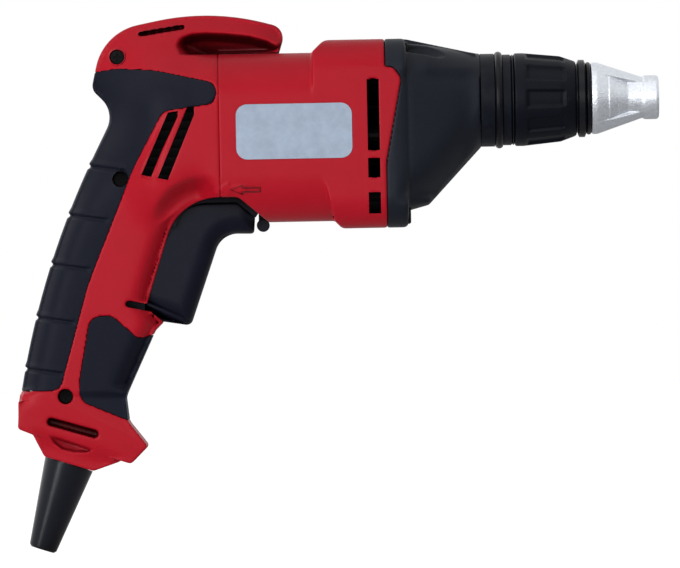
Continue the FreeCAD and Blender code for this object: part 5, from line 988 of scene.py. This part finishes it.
# Skin sizes: the cell in millimetres, the passes that relax the edges and the share of faces kept
SIDE_SKINS = {"handle_shell": (0.55, 3, 0.45), "rear_grip": (0.45, 3, 0.5), "palm_grip": (0.5, 3, 0.6)}
SKINS = {name + "_" + hand: sizes for hand, side in HANDS for name, sizes in SIDE_SKINS.items()}
SKINS.update({
    "motor_housing": (0.55, 4, 0.45),
    "gear_housing": (0.55, 4, 0.55),
    "trigger": (0.45, 3, 0.55),
    "depth_sleeve": (0.4, 3, 0.55),
    "nose_cone": (0.35, 3, 0.55),
})
PREPARED = {"nose_cone": fill_nose_wall}
VENTS = {"handle_shell_" + hand: (REAR_VENTS, (side,)) for hand, side in HANDS}
VENTS["motor_housing"] = (FRONT_VENTS, (-1, 1))
GRIP_DEPTH = 1.6

skins = {}
for name, (cell, passes, kept) in SKINS.items():
    skins[name] = remade(name, cell, passes, PREPARED.get(name))


def grip_cover(grips):
    """Where the grips, and the screw at their edge, lie over the handle shell."""
    xs, zs = side_grid(HANDLE_LOW, HANDLE_HIGH)
    covered = side_heights(grips, xs, zs) > LEAST_HEIGHT
    covered |= np.hypot(xs - GRIP_SCREW[0], zs - GRIP_SCREW[1]) < SCREW_ROOM
    return covered.astype(float)


right_side = [skins[name + "_right"] for name in SIDE_SKINS]
handle_relief = side_relief(
    right_side + [skins["motor_housing"]], HANDLE_LOW, HANDLE_HIGH, handle_holes, handle_design)
case_relief = side_relief(
    [skins["gear_housing"], skins["motor_housing"]], CASE_LOW, CASE_HIGH, case_holes, case_design)
grip_shape = follow_relief(handle_relief)
shell_shape = follow_relief(handle_relief, grip_cover(right_side[1:]), GRIP_DEPTH)
for hand, side in HANDS:
    shape_skin(skins["handle_shell_" + hand], shell_shape, square_foot, passes=2)
    shape_skin(skins["rear_grip_" + hand], grip_shape, step_grip, passes=1)
    shape_skin(skins["palm_grip_" + hand], grip_shape, passes=2)
shape_skin(skins["gear_housing"], shape_case(case_relief), passes=3)
shape_skin(skins["trigger"], round_trigger, passes=1)
shape_skin(skins["depth_sleeve"], sink_panels, passes=1)
shape_skin(skins["nose_cone"], swell_nose, passes=3)
for name, (cell, passes, kept) in SKINS.items():
    close_skin(skins[name], name, kept, *VENTS.get(name, ()))


# Springs, with the joint, fixed end and share kept of each; each coil is only copied into a piece of its own,
# in the place of its node
SPRINGS = [
    ("clutch_spring", "spindle_push", -103.1, 0.70),
    ("trigger_spring", "trigger_pull", -244.8, 0.76),
]
for name, joint, fixed_x, share_kept in SPRINGS:
    coil = add_piece(name + "_coil", nodes[name].data.copy())
    dress(coil, name)
    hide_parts(name)
    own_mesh(coil)


# Slats behind the vents and the trigger slot: low and high place, near and far side, and pitch
BAFFLES = {
    "rear_vent_baffle": ((-236.0, -37.0), (-206.0, -2.0), 19.0, 21.0, 4.0),
    "front_vent_baffle": ((-134.0, -49.5), (-124.5, -38.0), 18.6, 20.0, 3.0),
    "trigger_slot_baffle": ((-243.0, -95.0), (-232.6, -84.0), 12.8, 13.8, 3.0),
}
SLAT_THICKNESS = 0.8
SLAT_RISE = 1.25


def slatted_baffle(name, low, high, near, far, pitch):
    """Slanted slats, one above the other, which keep fingers and light out."""
    corners = []
    faces = []
    level = low[1]
    while level < high[1]:
        start = len(corners)
        top = level + SLAT_RISE * pitch
        outline = ((near, level), (far, top), (far, top + SLAT_THICKNESS), (near, level + SLAT_THICKNESS))
        corners += [(x * MM, y * MM, z * MM) for x in (low[0], high[0]) for y, z in outline]
        faces += [(start, start + 3, start + 2, start + 1), (start + 4, start + 5, start + 6, start + 7)]
        for index in range(4):
            after = (index + 1) % 4
            faces.append((start + index, start + after, start + after + 4, start + index + 4))
        level += pitch
    dress(new_piece(name, corners, faces), "brush_bridge")


for hand, side in HANDS:
    for name, (low, high, near, far, pitch) in BAFFLES.items():
        slatted_baffle(name + "_" + hand, low, high, side * near, side * far, pitch)


# Lip under the arch, which hides the gap above the trigger
LIP_DROP = 2.2
LIP_OVERLAP = 0.4
LIP_NEAR = 12.9
LIP_FAR = 15.0
LIP_START_X = -223.0
LIP_LOW = -56.0
LIP_END = (-181.0, -49.0)
LIP_STEPS = 10
arch_line = [(x, z) for x, z in rounded(OPENING, LIP_STEPS) if x > LIP_START_X and z > LIP_LOW]
arch_line.append(LIP_END)


def arch_lip(name, side):
    edge = []
    for index, (x, z) in enumerate(arch_line):
        before = arch_line[max(index - 1, 0)]
        after = arch_line[min(index + 1, len(arch_line) - 1)]
        run = Vector((after[0] - before[0], after[1] - before[1])).normalized()
        edge.append((x + run.y * LIP_DROP, z - run.x * LIP_DROP))
    raised = [(x, z + LIP_OVERLAP) for x, z in arch_line]
    near, far = sorted((side * LIP_NEAR, side * LIP_FAR))
    dress(side_prism(name, raised + edge[::-1], near, far), "switch_body")


for hand, side in HANDS:
    arch_lip("arch_lip_" + hand, side)


# Washer between the collar and the depth sleeve
WASHER_PROFILE = [(-66.2, 14.5), (-66.2, 19.9), (-65.9, 20.3), (-65.5, 20.3), (-65.2, 19.9), (-65.2, 14.5)]
WASHER_STEPS = 96


def sleeve_washer():
    corners = []
    faces = []
    count = len(WASHER_PROFILE)
    for step in range(WASHER_STEPS):
        angle = 2 * math.pi * step / WASHER_STEPS
        corners += [(x * MM, r * MM * math.sin(angle), r * MM * math.cos(angle)) for x, r in WASHER_PROFILE]
        here = step * count
        after = (step + 1) % WASHER_STEPS * count
        for index in range(count):
            beside = (index + 1) % count
            faces.append((here + index, here + beside, after + beside, after + index))
    dress(new_piece("sleeve_washer", corners, faces), "collar_o_ring")


sleeve_washer()


# Turning arrow raised on the right side of the barrel
ARROW = [(-192.9, -38.4), (-187.6, -36.6), (-187.6, -37.7), (-179.8, -37.7), (-179.8, -39.5), (-187.6, -39.5),
         (-187.6, -40.6)]
ARROW_LINE = 0.5
ARROW_ROUNDING = 3
ARROW_SINK = 0.08


def turning_arrow():
    """A bead along the arrow's outline, on the skin of the motor housing."""
    skin = BVHTree.FromObject(skins["motor_housing"], bpy.context.evaluated_depsgraph_get())
    curve = bpy.data.curves.new("turning_arrow", "CURVE")
    curve.dimensions = "3D"
    curve.bevel_depth = ARROW_LINE * MM
    curve.bevel_resolution = ARROW_ROUNDING
    line = curve.splines.new("POLY")
    line.points.add(len(ARROW) - 1)
    line.use_cyclic_u = True
    for point, (x, z) in zip(line.points, ARROW):
        hit = skin.ray_cast(Vector((x * MM, -OUTSIDE * MM, z * MM)), INWARD)[0]
        point.co = (hit.x, hit.y + ARROW_SINK * MM, hit.z, 1.0)
    bead = add_piece("turning_arrow", curve)
    shown = bead.evaluated_get(bpy.context.evaluated_depsgraph_get())
    made = add_piece("turning_arrow", bpy.data.meshes.new_from_object(shown))
    bpy.data.objects.remove(bead)
    dress(made, "motor_housing", ARROW_RED)


turning_arrow()


# Stage: pale floor and white surroundings
FLOOR_REACH = 6.0
FLOOR_CORNERS = ((-1, -1), (1, -1), (1, 1), (-1, 1))
FLOOR_COLOUR = (0.86, 0.86, 0.86, 1.0)
FLOOR_ROUGHNESS = 0.9
FLOOR_SPECULAR = 0.1
FLOOR_GLOW = 1.25
FLOOR_GLOW_SHARE = 0.8
ROOM_LIGHT = 0.25
ROOM_SEEN = 1.0


def pale_floor():
    """A floor that glows for the camera alone, so that it runs into the surroundings."""
    finish, tree, shader = start_finish("pale_floor", FLOOR_ROUGHNESS, FLOOR_SPECULAR)
    shader.inputs["Base Color"].default_value = FLOOR_COLOUR
    glow = add_node(tree, "ShaderNodeEmission", {}, {"Color": WHITE, "Strength": FLOOR_GLOW})
    path = add_node(tree, "ShaderNodeLightPath")
    share = add_node(tree, "ShaderNodeMath", {"operation": "MULTIPLY"}, {1: FLOOR_GLOW_SHARE})
    mix = add_node(tree, "ShaderNodeMixShader")
    tree.links.new(path.outputs["Is Camera Ray"], share.inputs[0])
    tree.links.new(share.outputs["Value"], mix.inputs["Fac"])
    tree.links.new(shader.outputs["BSDF"], mix.inputs[1])
    tree.links.new(glow.outputs["Emission"], mix.inputs[2])
    tree.links.new(mix.outputs["Shader"], tree.nodes["Material Output"].inputs["Surface"])
    return finish


def white_room():
    """Surroundings that are white to the camera and in reflections, and give little light."""
    world = bpy.data.worlds.new("white_room")
    world.use_nodes = True
    tree = world.node_tree
    dim = tree.nodes["Background"]
    dim.inputs["Color"].default_value = WHITE
    dim.inputs["Strength"].default_value = ROOM_LIGHT
    seen = add_node(tree, "ShaderNodeBackground", {}, {"Color": WHITE, "Strength": ROOM_SEEN})
    path = add_node(tree, "ShaderNodeLightPath")
    straight = add_node(tree, "ShaderNodeMath", {"operation": "MAXIMUM"})
    any_path = add_node(tree, "ShaderNodeMath", {"operation": "MAXIMUM"})
    mix = add_node(tree, "ShaderNodeMixShader")
    tree.links.new(path.outputs["Is Camera Ray"], straight.inputs[0])
    tree.links.new(path.outputs["Is Glossy Ray"], straight.inputs[1])
    tree.links.new(straight.outputs["Value"], any_path.inputs[0])
    tree.links.new(path.outputs["Is Transmission Ray"], any_path.inputs[1])
    tree.links.new(any_path.outputs["Value"], mix.inputs["Fac"])
    tree.links.new(dim.outputs["Background"], mix.inputs[1])
    tree.links.new(seen.outputs["Background"], mix.inputs[2])
    tree.links.new(mix.outputs["Shader"], tree.nodes["World Output"].inputs["Surface"])
    return world


floor_level = cad_box[0][2]
floor = new_piece(
    "floor", [(x * FLOOR_REACH, y * FLOOR_REACH, floor_level) for x, y in FLOOR_CORNERS], [(0, 1, 2, 3)])
floor.data.materials.append(pale_floor())
scene.world = white_room()

# Lamps, in metres: place, size and power of each, all turned to the middle of the tool
MIDDLE = Vector((-0.15, 0.0, -0.08))
LAMPS = {
    "top_softbox": ((-0.30, -0.45, 0.95), (1.1, 0.8), 1.9),
    "front_softbox": ((-0.20, -1.25, 0.05), (1.0, 0.8), 5.0),
    "side_softbox": ((-1.10, -1.05, 0.05), (0.5, 0.9), 13.0),
    "rear_softbox": ((-0.9, 0.8, 0.5), (0.9, 0.9), 3.0),
}
for name, (place, size, power) in LAMPS.items():
    light = bpy.data.lights.new(name, "AREA")
    light.shape = "RECTANGLE"
    light.size, light.size_y = size
    light.energy = power
    lamp = add_piece(name, light)
    lamp.location = place
    lamp.rotation_euler = (MIDDLE - Vector(place)).to_track_quat("-Z", "Y").to_euler()

# Camera at the photograph's angle
VIEW_CENTRE = Vector((-0.1449, 0.0, -0.0814))
VIEW_DISTANCE = 4.0
VIEW_WIDTH = 0.306
VIEW_ROLL = math.radians(1.1)
SENSOR_WIDTH = 36.0
view = bpy.data.cameras.new("photo_view")
view.sensor_width = SENSOR_WIDTH
view.lens = SENSOR_WIDTH * VIEW_DISTANCE / VIEW_WIDTH
camera = add_piece("photo_view", view)
upright = Matrix.Rotation(math.radians(90.0), 4, "X")
camera.matrix_world = (Matrix.Translation(VIEW_CENTRE + Vector((0.0, -VIEW_DISTANCE, 0.0)))
                       @ Matrix.Rotation(VIEW_ROLL, 4, "Y") @ upright)
scene.camera = camera
scene.view_settings.view_transform = "Standard"
